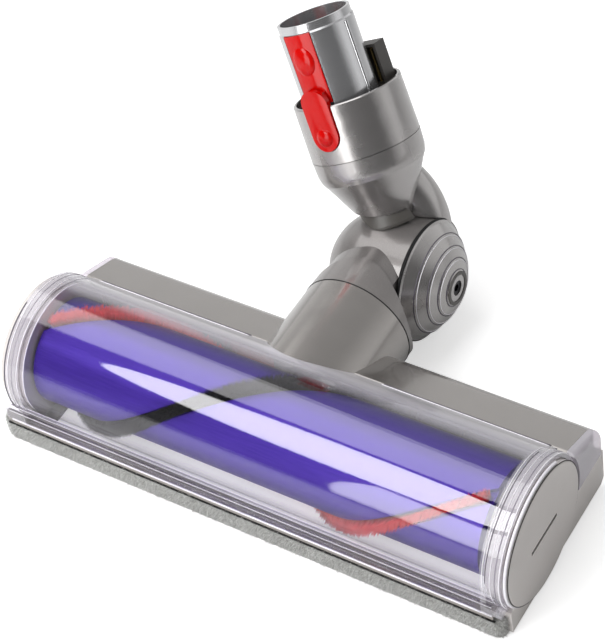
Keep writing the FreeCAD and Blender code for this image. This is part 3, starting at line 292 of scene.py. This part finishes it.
def cover_haze(tree, where):
    """Share of haze by place: a step at the rims, a slope up the ramp, whichever is more."""
    place = add(tree, "SeparateXYZ", Vector=where).outputs
    sideways = add(tree, "Math", SUBTRACT, i0=place["X"], i1=SHIFT.x * MM).outputs[0]
    sideways = add(tree, "Math", ABSOLUTE, i0=sideways).outputs[0]
    rims = add(tree, "MapRange", Value=sideways, From_Min=(RIM_X - 0.2) * MM, From_Max=(RIM_X + 0.2) * MM,
               To_Min=0.0, To_Max=RIM_HAZE).outputs[0]
    ramp = add(tree, "MapRange", Value=place["Y"], From_Min=(RAMP_FROM + SHIFT.y) * MM,
               From_Max=(RAMP_TO + SHIFT.y) * MM, To_Min=0.0, To_Max=RAMP_HAZE).outputs[0]
    return add(tree, "Math", MAXIMUM, i0=rims, i1=ramp).outputs[0]


def clear_plastic(name, tint, rough, haze=None):
    """Clear wall by Schlick's rule: mirror share = r0 + (1 - r0) * (1 - cos) ** 5, over a tint."""
    material, tree, where = new_material(name)
    haze = cover_haze(tree, where) if haze is None else haze
    edge = add(tree, "LayerWeight", Blend=0.5).outputs["Facing"]
    steep = add(tree, "Math", POWER, i0=edge, i1=5.0).outputs[0]
    share = add(tree, "Math", MULTIPLY_ADD, i0=steep, i1=1.0 - FACING_SHARE, i2=FACING_SHARE).outputs[0]
    ripple = add(tree, "TexNoise", Vector=where, Scale=per_mm(RIPPLE_MM), Detail=1.0).outputs["Fac"]
    waves = add(tree, "Bump", Height=ripple, Strength=0.06, Distance=0.001).outputs[0]
    straight = add(tree, "BsdfTransparent", Color=linear(tint)).outputs[0]
    cloud = add(tree, "BsdfDiffuse", Color=linear("#eceaf0")).outputs[0]
    through = add(tree, "MixShader", i0=haze, i1=straight, i2=cloud).outputs[0]
    mirror = add(tree, "BsdfGlossy", Color=WHITE, Roughness=rough, Normal=waves).outputs[0]
    wall = add(tree, "MixShader", i0=share, i1=through, i2=mirror).outputs[0]
    add(tree, "OutputMaterial", Surface=wall)
    return material


# the cover: hardly there face on, white where it turns away, milky at the rims and the ramp
clear = clear_plastic("polycarbonate_clear_moulded", "#f7f6f9", 0.03)
# the end pieces of the bar: thicker and cloudy throughout, with a pink cast
clear_thick = clear_plastic("polycarbonate_clear_thick_moulded", "#f4eef4", 0.05, haze=THICK_HAZE)
print("clear plastics", clear.name, clear_thick.name)

# %% [markdown]
# Fibres carry a tone attribute, so that no two bristles are quite the same red, and a height
# attribute from root to tip, which darkens the roots with painted shade, as a real tuft shades its
# own base. Thin fibres pass light on to each other, and a faint painted glow of their own colour
# stands for that.

# %% Fibre materials
def fibre_material(name, low, high, root, rough, sheen, glow=0.0):
    """Nylon or polyester fibre: colour by the fibre's own tone, painted shade at the root, with a faint
    painted glow.
    """
    material, tree, _ = new_material(name)
    tone = add(tree, "Attribute", {"attribute_name": "tone"}).outputs["Fac"]
    height = add(tree, "Attribute", {"attribute_name": "height"}).outputs["Fac"]
    tip = add(tree, "Mix", COLOUR, i0=tone, i6=linear(low), i7=linear(high)).outputs[2]
    colour = add(tree, "Mix", COLOUR, i0=height, i6=linear(root), i7=tip).outputs[2]
    body = add(tree, "BsdfPrincipled", Base_Color=colour, Roughness=rough, Sheen_Weight=sheen,
               Emission_Color=colour, Emission_Strength=glow)
    add(tree, "OutputMaterial", Surface=body.outputs[0])
    return material


# stiff bristles: a bright red, pinker on some fibres at random, with a faint painted glow for the light that
# comes through
red_fibre = fibre_material("nylon_bristle_red", "#d01226", "#ff4a52", "#8a1022", 0.4, 0.1, 0.16)
# soft filaments: black with hardly a sheen
black_fibre = fibre_material("carbon_filament_black", "#08080b", "#17181c", "#050506", 0.5, 0.05)
# the pile: mixed greys, dull, speckled light and dark, with painted shade at the roots and a faint painted
# glow
pile_fibre = fibre_material("polyester_pile_grey", "#969694", "#ececea", "#82827f", 0.8, 0.3, 0.06)
print("fibres", [made.name for made in (red_fibre, black_fibre, pile_fibre)])

# %% [markdown]
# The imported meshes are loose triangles. A merged copy of each shares its corners, which lets
# it be shaded smooth, with an edge kept sharp wherever two faces meet at more than 13 degrees.
# Letting large faces lead the shading keeps flat walls flat up to the edge of a fillet.

# %% Smooth copies of the solids
SHARP_DEG = 13.0
SAME_PLACE = 2e-6                       # metres


def smooth_copy(node, material):
    """A merged, smooth-shaded copy of a node, which stands for it."""
    source = frame["nodes"][node]
    mesh = source.data.copy()
    work = bmesh.new()
    work.from_mesh(mesh)
    bmesh.ops.remove_doubles(work, verts=work.verts, dist=SAME_PLACE)
    for face in work.faces:
        face.smooth = True
    for edge in work.edges:
        edge.smooth = len(edge.link_faces) == 2 and edge.calc_face_angle() < math.radians(SHARP_DEG)
    work.to_mesh(mesh)
    work.free()
    mesh.materials.clear()
    mesh.materials.append(material)
    piece = bpy.data.objects.new(node + "_finished", mesh)
    bpy.context.scene.collection.objects.link(piece)
    even = piece.modifiers.new("large faces lead", "WEIGHTED_NORMAL")
    even.keep_sharp = True
    even.weight = 80
    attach(piece, source["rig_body"])
    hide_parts(node)
    return piece


FINISH = {
    "cover": clear, "end_window_right": clear_thick, "end_window_left": clear_thick,
    "rear_housing": warm_grey, "knuckle": shaded_ball_grey,
    "elbow": silver_grey, "cuff": silver_grey, "pivot_cap": silver_grey, "tube": bright_silver,
    "soleplate": sole_grey, "side_panel_right": pale_grey, "side_panel_left": pale_grey,
    "lock_disc": pale_grey, "neck_collar": dark_nylon, "swivel_retainer": black_nylon,
    "brush_plug": black_nylon, "drive_hub": black_nylon, "connector": dark_nylon,
    "pivot_ring": dark_nylon, "wheel_right": dark_nylon, "wheel_left": dark_nylon,
    "gearbox": dark_nylon, "release_catch": red_abs, "brush_barrel": purple,
    "motor": turned_steel, "wheel_axles": turned_steel, "lock_spindle": turned_steel,
    "brush_bearing": turned_steel, "drive_shaft": turned_steel, "pivot_screw": black_steel,
    "sole_screws": black_steel, "contacts": brass,
}
finished = {node: smooth_copy(node, material) for node, material in FINISH.items()}
print("finished", len(finished), "nodes")

# %% [markdown]
# A fibre is a thin three-sided spike: a triangle at the root, one half-way up that is pushed
# aside to bend it, and a point at the tip. Thousands of them are worked out at once as arrays:
# the roots, the ways they point and the bends are all rows of numbers. A bend grows with the
# square of the way up, so half-way it is a quarter of what it is at the tip.

# %% Fibre shapes
RNG = np.random.default_rng(7)
CORNERS = 7                             # of one spike: three at the root, three half-way, one tip
MID_WIDTH = 0.85                        # of the half-way triangle, as a share of the root's


def unit(rows):
    """Each row divided by its own length: row / sqrt(x x + y y + z z)."""
    return rows / np.linalg.norm(rows, axis=1, keepdims=True)


def to_row(points_mm):
    """Millimetres about the brush axis to metres in the row frame."""
    return (points_mm + np.array(SHIFT)) * MM


def spike_points(roots, ways, lengths, radius, bend):
    """Corner k of a triangle is its middle + radius * (u cos k + v sin k), with u and v across the way."""
    ways = unit(ways)
    u = unit(np.cross(ways, RNG.normal(size=roots.shape)))
    v = np.cross(ways, u)
    tips = roots + ways * lengths[:, None] + bend
    mids = roots + ways * (lengths * 0.5)[:, None] + bend * 0.25
    turn = np.arange(3) * 2 * np.pi / 3
    ring = u[:, None, :] * np.cos(turn)[None, :, None] + v[:, None, :] * np.sin(turn)[None, :, None]
    low = roots[:, None, :] + ring * radius
    mid = mids[:, None, :] + ring * radius * MID_WIDTH
    return np.concatenate([low, mid, tips[:, None, :]], axis=1).reshape(-1, 3)


def spike_faces(count):
    """Nine triangles a spike: two to each side of the lower half, one to each side of the tip."""
    k = np.arange(3)
    step = (k + 1) % 3
    lower = np.stack([k, step, step + 3], 1)
    upper = np.stack([k, step + 3, k + 3], 1)
    tip = np.stack([k + 3, step + 3, np.full(3, 6)], 1)
    one = np.concatenate([lower, upper, tip])
    return (one[None] + CORNERS * np.arange(count)[:, None, None]).reshape(-1, 3)


print("one fibre has", len(spike_faces(1)), "triangles")

# %% [markdown]
# One mesh holds all the fibres of a strip, because thousands of separate objects would be slow.
# Two numbers are stored with its corners for the material: a tone, the same for all corners of
# one fibre, and a height from the root to the tip.

# %% Fibre mesh
# painted shade: the root colour fades out from the root to half-way up
MID_HEIGHT = 0.75                       # half-way up: more than a half, so that only roots are dark


def fibres(name, roots, ways, lengths, radius, bend, material):
    """One mesh of spikes: tone = a random number for each, height = 0 at the root to 1 at the tip."""
    n = len(roots)
    points, faces = spike_points(roots, ways, lengths, radius, bend), spike_faces(n)
    mesh = bpy.data.meshes.new(name)
    mesh.vertices.add(len(points))
    mesh.vertices.foreach_set("co", points.astype(np.float32).ravel())
    mesh.loops.add(faces.size)
    mesh.loops.foreach_set("vertex_index", faces.ravel())
    mesh.polygons.add(len(faces))
    mesh.polygons.foreach_set("loop_start", np.arange(0, faces.size, 3))
    mesh.polygons.foreach_set("use_smooth", np.ones(len(faces), bool))
    mesh.update(calc_edges=True)
    tone = np.repeat(RNG.random(n), CORNERS).astype(np.float32)
    mesh.attributes.new("tone", "FLOAT", "POINT").data.foreach_set("value", tone)
    height = np.tile([0.0] * 3 + [MID_HEIGHT] * 3 + [1.0], n).astype(np.float32)
    mesh.attributes.new("height", "FLOAT", "POINT").data.foreach_set("value", height)
    mesh.materials.append(material)
    piece = bpy.data.objects.new(name, mesh)
    bpy.context.scene.collection.objects.link(piece)
    print(name, n, "fibres,", len(faces), "triangles")
    return piece


print("height along a fibre: 0, %.2f and 1" % MID_HEIGHT)

# %% [markdown]
# The brush carries two strips that wind round it: stiff red nylon for carpet, and a soft strip
# of black carbon filament. Each is a helix, so the angle of a tuft is its place along the
# barrel times a fixed turn per millimetre. Red tufts stand a little apart, in rows across the
# strip, while the soft strip is an even brush.

# %% Brush strips
BRUSH_Z = 31.7                          # height of the brush axis
TURN_DEG = 1.65                         # helix, degrees per mm
START_DEG = 20.0                        # above the front horizontal, at the reference place
STRIP_FROM, STRIP_TO = -107.8, 105.8    # along the barrel
FOOT_R, TIP_R = 21.6, 30.2              # where the fibres start and how far the longest reach
GATHER = 0.85                           # share of the way that a fibre leans to its tuft's middle
FIBRE_R = 0.15                          # as stiff nylon; the soft filaments are drawn as coarse, to show
SHORTEST, TUFT_STEP, FRAY = 0.84, 0.12, 0.03    # shares of the reach
SCATTER, FAN_WANDER, LEAN_WANDER = 0.3, 6.0, 1.5    # of a tuft, and of a strip's wander
TUFT_WAVE = 2.4                         # radians from one tuft to the next, for their uneven lengths


def helix_strip(name, node, count, ref_x, width, tip_width, tuft_mm, wander, material):
    """Fibres on a helix: root = (x, -r cos a, r sin a), a = start + turn * (x - ref); the tips fan out."""
    x = RNG.uniform(STRIP_FROM, STRIP_TO, count)
    tuft = (np.floor(x / tuft_mm) + 0.5) * tuft_mm
    x = np.clip(tuft + RNG.normal(0, tuft_mm * SCATTER, count), STRIP_FROM, STRIP_TO)
    across = RNG.uniform(-width / 2, width / 2, count)
    a = np.radians(START_DEG + TURN_DEG * (x - ref_x))
    out = np.stack([np.zeros(count), -np.cos(a), np.sin(a)], 1)
    side = np.stack([np.zeros(count), np.sin(a), np.cos(a)], 1)
    along = np.array([1.0, 0.0, 0.0])
    axis = np.array([0.0, 0.0, BRUSH_Z])
    roots = axis + out * FOOT_R + side * across[:, None] + along * x[:, None]
    fan = across * (tip_width / width - 1.0) + RNG.normal(0, wander * FAN_WANDER, count)
    gather = (tuft - x) * GATHER + RNG.normal(0, wander * LEAN_WANDER, count)
    reach = np.sqrt(TIP_R ** 2 - (across + fan) ** 2) - FOOT_R
    uneven = 0.5 + 0.5 * np.sin(np.floor(x / tuft_mm) * TUFT_WAVE)
    lengths = reach * (SHORTEST + TUFT_STEP * uneven + RNG.uniform(0.0, FRAY, count))
    bend = (side * fan[:, None] + along * gather[:, None]) * MM
    piece = fibres(name, to_row(roots), out, lengths * MM, FIBRE_R * MM, bend, material)
    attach(piece, "brushbar")
    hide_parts(node)
    return piece


helix_strip("red_bristles", "bristle_strip", count=11000, ref_x=75.0, width=3.0, tip_width=5.2,
            tuft_mm=1.7, wander=0.07, material=red_fibre)
helix_strip("soft_filaments", "soft_strip", count=18000, ref_x=-48.0, width=4.6, tip_width=8.0,
            tuft_mm=0.9, wander=0.06, material=black_fibre)

# %% [markdown]
# A strip of short grey pile seals the front edge. On the real part it is woven pile glued in
# a channel, so it is a soft body with fibres standing out of it all round. The solid strip is
# kept as the backing, and the fibres are scattered over its outline, rooted a little inside it.
# Seen from above, that outline is an arm round the left corner, a bend, the long front and a small bend.

# %% Outline of the pile
LEFT_X, RIGHT_X, FRONT_Y = -129.0, 122.0, -33.4
LEFT_R, RIGHT_R = 6.5, 4.0              # of the two bends
ARM_Y = -26.4                           # where the arm round the left corner ends


def pile_outline(count):
    """Random places along the outline; on a bend, angle = way travelled / radius, outward = (cos, sin)."""
    straight = RIGHT_X - RIGHT_R - (LEFT_X + LEFT_R)
    left, right = LEFT_R * np.pi / 2, RIGHT_R * np.pi / 2
    arm = abs(ARM_Y - FRONT_Y) - LEFT_R
    s = RNG.uniform(0, arm + left + straight + right, count)
    t = s - arm - left
    a = np.pi + (s - arm) / LEFT_R
    b = 1.5 * np.pi + (t - straight) / RIGHT_R
    where = [s < arm, s < arm + left, t < straight]
    x = np.select(where, [np.full(count, LEFT_X), LEFT_X + LEFT_R + LEFT_R * np.cos(a), LEFT_X + LEFT_R + t],
                  RIGHT_X - RIGHT_R + RIGHT_R * np.cos(b))
    y = np.select(where, [ARM_Y - s, FRONT_Y + LEFT_R + LEFT_R * np.sin(a), np.full(count, FRONT_Y)],
                  FRONT_Y + RIGHT_R + RIGHT_R * np.sin(b))
    nx = np.select(where, [np.full(count, -1.0), np.cos(a), np.zeros(count)], np.cos(b))
    ny = np.select(where, [np.zeros(count), np.sin(a), np.full(count, -1.0)], np.sin(b))
    return x, y, nx, ny


print("pile from", LEFT_X, "to", RIGHT_X, "mm")

# %% [markdown]
# The fibres stand out square to the outline, the lower ones pointing down and the upper ones
# up, and each strays a little, which gives the speckled, unkempt edge of cut pile. The fibre is
# 0.26 mm across, several times the real one, so that it shows. None may reach the floor.

# %% Pile fibres
PILE_TOP = 10.6
ROOT_LOW, ROOT_HIGH = 0.6, PILE_TOP - 0.2
ROOT_DEPTH, PILE_RADIUS = 0.8, 0.13     # fibres start this far inside, and are this thick
PILE_FROM, PILE_TO = 1.8, 3.1           # their lengths, in root depths
LEVEL_AT, TILT = 0.4, 0.9               # fibres lie level at this share of the top, and tilt by this
STRAY, CURL = 0.32, 0.3                 # scatter of the way that they point, and of the tips in mm
CLEAR_OF_FLOOR = 0.35


def front_pile(count):
    """Way of a fibre = outward + tilt * (z - level) / top + scatter; root = outline - depth * outward."""
    x, y, nx, ny = pile_outline(count)
    z = RNG.uniform(ROOT_LOW, ROOT_HIGH, count)
    roots = np.stack([x - nx * ROOT_DEPTH, y - ny * ROOT_DEPTH, z], 1)
    tilt = (z - PILE_TOP * LEVEL_AT) / PILE_TOP
    ways = np.stack([nx, ny, tilt * TILT], 1) + RNG.normal(0, STRAY, (count, 3))
    lengths = RNG.uniform(PILE_FROM, PILE_TO, count) * ROOT_DEPTH
    bend = RNG.normal(0, CURL, (count, 3)) * MM
    tip_z = z + unit(ways)[:, 2] * lengths
    bend[:, 2] = np.maximum(bend[:, 2], (CLEAR_OF_FLOOR - tip_z) * MM)
    return fibres("pile_fibres", to_row(roots), ways, lengths * MM, PILE_RADIUS * MM, bend, pile_fibre)


pile = front_pile(20000)
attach(pile, "head")
# the woven ground between the fibres: a darker, quite dull grey
pile_ground = satin_abs("polyester_pile_backing", "#8f8f8c", "#a4a4a1", 0.8, 0.5, 0.6)
smooth_copy("front_pile", pile_ground)

# %% [markdown]
# Thin moulded beads and dark gaps catch the eye on the real part, although they are only a few
# tenths of a millimetre wide: the rims of the cover are ridged, the seams are black lines. Each
# is a ring or a straight bar with a round section, sunk half-way into the solid that carries it,
# and coloured with the painted highlight or painted shade that the line shows.
# A bar is one profile carried along a line of points, so one function makes them all.

# %% Round bars
SIDES = 8
UNLIKE = np.array([0.3, 0.5, 0.81])     # a way that no line here follows, to start each section from
ALONG_Y, ALONG_Z = np.array([0.0, 1.0, 0.0]), np.array([0.0, 0.0, 1.0])
ALONG_X = np.array([1.0, 0.0, 0.0])
WHOLE_TURN = np.arange(0, 360, 3)


def arc(centre, first, second, r, degrees):
    """Points of an arc: centre + r * (first cos a + second sin a)."""
    a = np.radians(degrees)[:, None]
    return centre + r * (first * np.cos(a) + second * np.sin(a))


def straight_line(y, z, x0, x1, count=30):
    """Points (x, y, z) with x in even steps from x0 to x1."""
    return np.stack([np.linspace(x0, x1, count), np.full(count, y), np.full(count, z)], 1)


def round_bar(name, line, thick, material, body="head", closed=False):
    """A round section along a line: corner k of a ring is its point + thick * (u cos k + w sin k)."""
    ahead = np.roll(line, -1, axis=0) - np.roll(line, 1, axis=0)
    if not closed:
        ahead[0], ahead[-1] = line[1] - line[0], line[-1] - line[-2]
    ahead = unit(ahead)
    u = unit(np.cross(ahead, UNLIKE))
    w = np.cross(ahead, u)
    turn = np.arange(SIDES) * 2 * np.pi / SIDES
    section = u[:, None, :] * np.cos(turn)[None, :, None] + w[:, None, :] * np.sin(turn)[None, :, None]
    points = line[:, None, :] + thick * section
    n = len(line)
    i = np.arange(n if closed else n - 1)[:, None]
    k = np.arange(SIDES)[None, :]
    j, m = (i + 1) % n, (k + 1) % SIDES
    quads = np.stack([i * SIDES + k, i * SIDES + m, j * SIDES + m, j * SIDES + k], 2)
    faces = quads.reshape(-1, 4).tolist()
    if not closed:
        faces += [list(range(SIDES - 1, -1, -1)), list(range((n - 1) * SIDES, n * SIDES))]
    mesh = bpy.data.meshes.new(name)
    mesh.from_pydata(to_row(points.reshape(-1, 3)).tolist(), [], faces)
    mesh.polygons.foreach_set("use_smooth", np.ones(len(faces), bool))
    mesh.materials.append(material)
    piece = bpy.data.objects.new(name, mesh)
    bpy.context.scene.collection.objects.link(piece)
    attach(piece, body)
    return piece


print("a bar has", SIDES, "sides")

# %% [markdown]
# A bead is painted with the highlight or the shade that the moulding shows at such a line, because
# a bar this thin can't mirror a room by itself. They are satin, so that no bead flashes when the view turns.

# %% Bead finishes
# painted highlight: white, for a polished ridge that gathers the sky into one line
painted_highlight_bead = satin_abs("polycarbonate_bead_painted_highlight", "#ece9f0", "#f8f6fb", 0.2, 1.0, 0.0)
# painted shade: dark violet, for the far side of a clear step, where the wall is seen edge on
painted_shade_bead = satin_abs("polycarbonate_edge_painted_shade", "#4b4650", "#5a5560", 0.25, 1.0, 0.0)
# painted half shade: half way between, for a shallow clear step
painted_half_shade_bead = satin_abs("polycarbonate_edge_painted_half_shade", "#8d8893", "#a09ba6", 0.25, 1.0, 0.0)
# painted shadow: black and dull, for a gap between two mouldings
painted_gap_shadow = satin_abs("seam_gap_painted_shadow", "#050506", "#0a0a0b", 0.8, 1.0, 0.0)
print("bead finishes", [made.name for made in (painted_highlight_bead, painted_shade_bead, painted_half_shade_bead, painted_gap_shadow)])

# %% [markdown]
# The rims of the cover are stepped rings round the brush axis, open below, where the sole is.
# Angles count from the rear over the top to the front. The outermost line is a painted highlight
# on the right rim and painted shade on the left one, which the eye sees from inside, through the wall.

# %% Rim lines
CLEAR_SLOT, PANEL_SLOT, BAR_SLOT = "clear_polycarbonate", "pale_grey_abs", "warm_grey_abs"
REAR_DEG, FRONT_DEG = -14.0, 212.0
ARC_POINTS = 120
RIM_LINES = [       # name, x, radius, half thickness, finish, from and to degrees, slot
    ("rim_left_outer", -119.2, 32.75, 0.30, painted_shade_bead, 100, FRONT_DEG, CLEAR_SLOT),
    ("rim_left_line", -117.6, 32.85, 0.18, painted_highlight_bead, REAR_DEG, FRONT_DEG, CLEAR_SLOT),
    ("rim_left_step", -115.4, 32.80, 0.16, painted_half_shade_bead, REAR_DEG, FRONT_DEG, CLEAR_SLOT),
    ("rim_left_shoulder", -112.9, 32.60, 0.18, painted_highlight_bead, REAR_DEG, FRONT_DEG, CLEAR_SLOT),
    ("rim_left_inner", -111.0, 30.2, 0.28, painted_highlight_bead, 20, 200, CLEAR_SLOT),
    ("rim_right_outer", 121.8, 32.80, 0.30, painted_highlight_bead, REAR_DEG, FRONT_DEG, CLEAR_SLOT),
    ("rim_right_line", 119.9, 32.85, 0.22, painted_half_shade_bead, REAR_DEG, FRONT_DEG, CLEAR_SLOT),
    ("rim_right_step", 117.8, 32.85, 0.18, painted_highlight_bead, REAR_DEG, FRONT_DEG, CLEAR_SLOT),
    ("rim_right_shadow", 115.7, 32.80, 0.20, painted_shade_bead, 60, 175, CLEAR_SLOT),
    ("rim_right_shoulder", 114.3, 32.60, 0.20, painted_highlight_bead, REAR_DEG, FRONT_DEG, CLEAR_SLOT),
    # the disc ring is a painted highlight on the lock disc, and the disc gap a painted shadow line round it
    ("disc_ring", 123.4, 31.1, 0.75, painted_highlight_bead, 60, 230, PANEL_SLOT),
    ("disc_gap", 124.6, 30.75, 0.18, painted_gap_shadow, 0, 360, PANEL_SLOT),
]
for name, x, r, thick, material, from_deg, to_deg, slot in RIM_LINES:
    axis_point = np.array([x, 0.0, BRUSH_Z])
    line = arc(axis_point, ALONG_Y, ALONG_Z, r, np.linspace(from_deg, to_deg, ARC_POINTS))
    round_bar(name, line, thick, material)
print("rim lines", len(RIM_LINES))

# %% [markdown]
# The front lip is a shelf with fine ridges on it, moulded in one with the cover, and a black
# gap above the pile; the ridges are painted highlight and painted shade, the gap a painted shadow.
# They all run straight along the front, so a row for each is enough.

# %% Lip lines
LIP_X = (-121.0, 118.0)
LIP_LINES = [       # y, z, half thickness, finish
    (-31.5, 22.2, 0.20, painted_half_shade_bead), (-30.9, 22.5, 0.16, painted_highlight_bead), (-31.0, 21.9, 0.25, painted_half_shade_bead),
    (-32.0, 21.8, 0.16, painted_highlight_bead), (-33.2, 21.2, 0.25, painted_shade_bead), (-33.5, 20.2, 0.16, painted_highlight_bead),
    (-33.5, 14.4, 0.42, painted_highlight_bead),
]
for place, (y, z, thick, material) in enumerate(LIP_LINES):
    round_bar("lip_line_%d" % place, straight_line(y, z, *LIP_X), thick, material)
shadow_line = straight_line(y=-33.3, z=10.7, x0=-124.0, x1=119.0)
round_bar("pile_shadow", shadow_line, thick=0.55, material=painted_gap_shadow)
print("lip lines", len(LIP_LINES))

# %% [markdown]
# Behind the brush, the ramp of the cover ends in a bright edge with a gap before the bar, on
# both sides of the neck: a painted highlight and a painted shade line. A round seam shows where
# the knuckle turns in the neck root, drawn as a painted shadow line. The floor of the coin slot
# is darkened with painted shade, because the slot of the solid is shallower than the real one.

# %% Seams and slot
NECK_Z, SEAM_Y, SEAM_R = 30.2, 67.0, 26.3
seam = arc(np.array([0.0, SEAM_Y, NECK_Z]), ALONG_X, ALONG_Z, SEAM_R, WHOLE_TURN)
round_bar("swivel_seam", seam, thick=0.32, material=painted_gap_shadow, closed=True)

BESIDE_NECK = [(-109.0, -30.0), (36.0, 113.0)]
for place, (x0, x1) in enumerate(BESIDE_NECK):
    gap, edge = straight_line(31.2, 45.7, x0, x1), straight_line(29.6, 47.2, x0, x1)
    round_bar("bar_gap_%d" % place, gap, thick=0.35, material=painted_shade_bead)
    round_bar("ramp_edge_%d" % place, edge, thick=0.4, material=painted_highlight_bead)

SLOT_X, SLOT_REACH = 123.95, 10.4
slot_floor = np.array([[SLOT_X, -SLOT_REACH, BRUSH_Z], [SLOT_X, SLOT_REACH, BRUSH_Z]])
round_bar("coin_slot_floor", slot_floor, thick=0.92, material=painted_gap_shadow, body="end_cap")
print("seam", round(2 * SEAM_R, 1), "mm across, slot", 2 * SLOT_REACH, "mm long")

# %% [markdown]
# The ribbed cap is a dome cut into five terraces. A terrace reads as a bright upper edge and a
# dark line at its foot, so each gets both, as rings about the axis on which the neck tilts: a
# painted highlight and a painted shade line. A painted shadow ring fills the gap at the cap's
# foot. The height of the dome at a radius r follows from the sphere that it was cut from: the
# centre's height + sqrt(sphere's radius ** 2 - r ** 2).

# %% Cap terraces
PIVOT = np.array([0.0, 102.5, NECK_Z])
PIVOT_WAY = np.array([0.997564, 0.0, 0.069756])
CAP_R, TERRACES, TERRACE_WIDTH, TERRACE_EDGE, TERRACE_DROP = 27.6, 5, 4.75, 0.9, 0.8
DOME_R, DOME_X = 32.4, 0.3
GAP_X = 16.85                           # the foot of the cap


def cap_ring(name, along, r, thick, material):
    """A ring about the tilt axis: pivot + along * way + r * (y cos a + n sin a), with n = way x y."""
    line = arc(PIVOT + along * PIVOT_WAY, ALONG_Y, np.cross(PIVOT_WAY, ALONG_Y), r, WHOLE_TURN)
    return round_bar(name, line, thick, material, body="upper_neck", closed=True)


for step in range(1, TERRACES):
    r = CAP_R - TERRACE_WIDTH * step
    dome = DOME_X + math.sqrt(DOME_R ** 2 - r * r)
    cap_ring("cap_foot_%d" % step, dome - TERRACE_DROP, r, thick=0.27, material=painted_shade_bead)
    cap_ring("cap_edge_%d" % step, dome, r - TERRACE_EDGE, thick=0.16, material=painted_highlight_bead)
cap_ring("cap_gap", GAP_X, CAP_R - 0.1, thick=0.8, material=painted_gap_shadow)
print("cap rings", 2 * (TERRACES - 1) + 1)

# %% [markdown]
# The stage is a pale floor under a white sky. The floor takes the object's shadow and glows a
# little for the camera, so that it comes out as the white paper of the photograph. For the
# camera and through clear walls the sky is white at a strength of 1. Mirrors see it white
# behind the object and dim in front, as a room is dim behind a photographer, so glossy pieces
# get darks to set their highlights against.

# %% Floor and sky
FLOOR_HALF, FLOOR_GLOW = 4.0, 0.55      # metres, strength
SKY_LIGHT, SKY_FRONT, SKY_TOP = 0.38, 0.10, 0.55


def add_floor():
    """A square of paper on the ground, diffuse, with its glow seen by the camera alone."""
    far = FLOOR_HALF
    corners = [(-far, -far, 0), (far, -far, 0), (far, far, 0), (-far, far, 0)]
    mesh = bpy.data.meshes.new("floor")
    mesh.from_pydata(corners, [], [(0, 1, 2, 3)])
    floor = bpy.data.objects.new("floor", mesh)
    bpy.context.scene.collection.objects.link(floor)
    # matt white paper: a soft grey shadow round the foot, and white everywhere else
    material, tree, _ = new_material("paper_backdrop_white")
    path = add(tree, "LightPath")
    paper = add(tree, "BsdfDiffuse", Color=linear("#ececec")).outputs[0]
    glow = add(tree, "Emission", Color=WHITE, Strength=FLOOR_GLOW).outputs[0]
    lit = add(tree, "AddShader", i0=paper, i1=glow).outputs[0]
    seen = add(tree, "MixShader", i0=path.outputs["Is Camera Ray"], i1=paper, i2=lit).outputs[0]
    add(tree, "OutputMaterial", Surface=seen)
    mesh.materials.append(material)
    return floor


def add_sky():
    """For mirrors, strength = rise from front to back * fall with height; the camera sees 1."""
    world = bpy.data.worlds.new("sky")
    bpy.context.scene.world = world
    world.use_nodes = True
    tree = world.node_tree
    tree.nodes.clear()
    path = add(tree, "LightPath").outputs
    way = add(tree, "SeparateXYZ", Vector=add(tree, "TexCoord").outputs["Generated"]).outputs
    rise = add(tree, "MapRange", Value=way["Y"], From_Min=-0.15, From_Max=0.35, To_Min=SKY_FRONT, To_Max=1.0)
    fall = add(tree, "MapRange", Value=way["Z"], From_Min=0.15, From_Max=0.65, To_Min=1.0, To_Max=SKY_TOP)
    strength = add(tree, "Math", MULTIPLY, i0=rise.outputs[0], i1=fall.outputs[0]).outputs[0]
    mirror = add(tree, "Background", Color=WHITE, Strength=strength).outputs[0]
    white = add(tree, "Background", Color=WHITE, Strength=1.0).outputs[0]
    dim = add(tree, "Background", Color=WHITE, Strength=SKY_LIGHT).outputs[0]
    seen = add(tree, "Math", MAXIMUM, i0=path["Is Camera Ray"], i1=path["Is Transmission Ray"]).outputs[0]
    first = add(tree, "MixShader", i0=path["Is Glossy Ray"], i1=dim, i2=mirror).outputs[0]
    last = add(tree, "MixShader", i0=seen, i1=first, i2=white).outputs[0]
    add(tree, "OutputWorld", Surface=last)
    return world


print("stage", add_floor().name, add_sky().name)

# %% [markdown]
# Three soft boxes make the highlights. Each one's place was found by following a bright band
# on the clear cover back along its mirror direction: a round box up on the left in front, a
# wide one overhead behind it, and a tall one low in front.

# %% Lamps
def soft_box(name, centre_mm, aim_mm, size_mm, bright):
    """A lamp panel: watts = brightness * pi * area, so the brightness is what a mirror would show."""
    width, height = size_mm
    data = bpy.data.lights.new(name, "AREA")
    data.size = width * MM
    if height is None:
        data.shape = "DISK"
        area = math.pi * (width * MM / 2) ** 2
    else:
        data.shape = "RECTANGLE"
        data.size_y = height * MM
        area = width * height * MM * MM
    data.energy = bright * math.pi * area
    lamp = bpy.data.objects.new(name, data)
    place = (Vector(centre_mm) + SHIFT) * MM
    aim = (Vector(aim_mm) + SHIFT) * MM
    lamp.matrix_world = Matrix.Translation(place) @ (place - aim).to_track_quat("Z", "Y").to_matrix().to_4x4()
    bpy.context.scene.collection.objects.link(lamp)
    print(name, round(data.energy, 2), "W")
    return lamp


# each: centre, aim and size in mm, and brightness; a round box has no second size
soft_box("round_box", (-220, -403, 596), (20, -20, 55), (420, None), 6.5)
soft_box("wide_box", (-440, 130, 930), (0, 0, 60), (700, 1150), 2.2)
soft_box("low_box", (-110, -976, 347), (80, -25, 50), (500, 590), 4.2)

# %% [markdown]
# Last, the colours are shown as they are, with no film curve over them. Only the pile's fibres
# may stand a little outside their box.

# %% Finish
bpy.context.scene.view_settings.view_transform = "Standard"
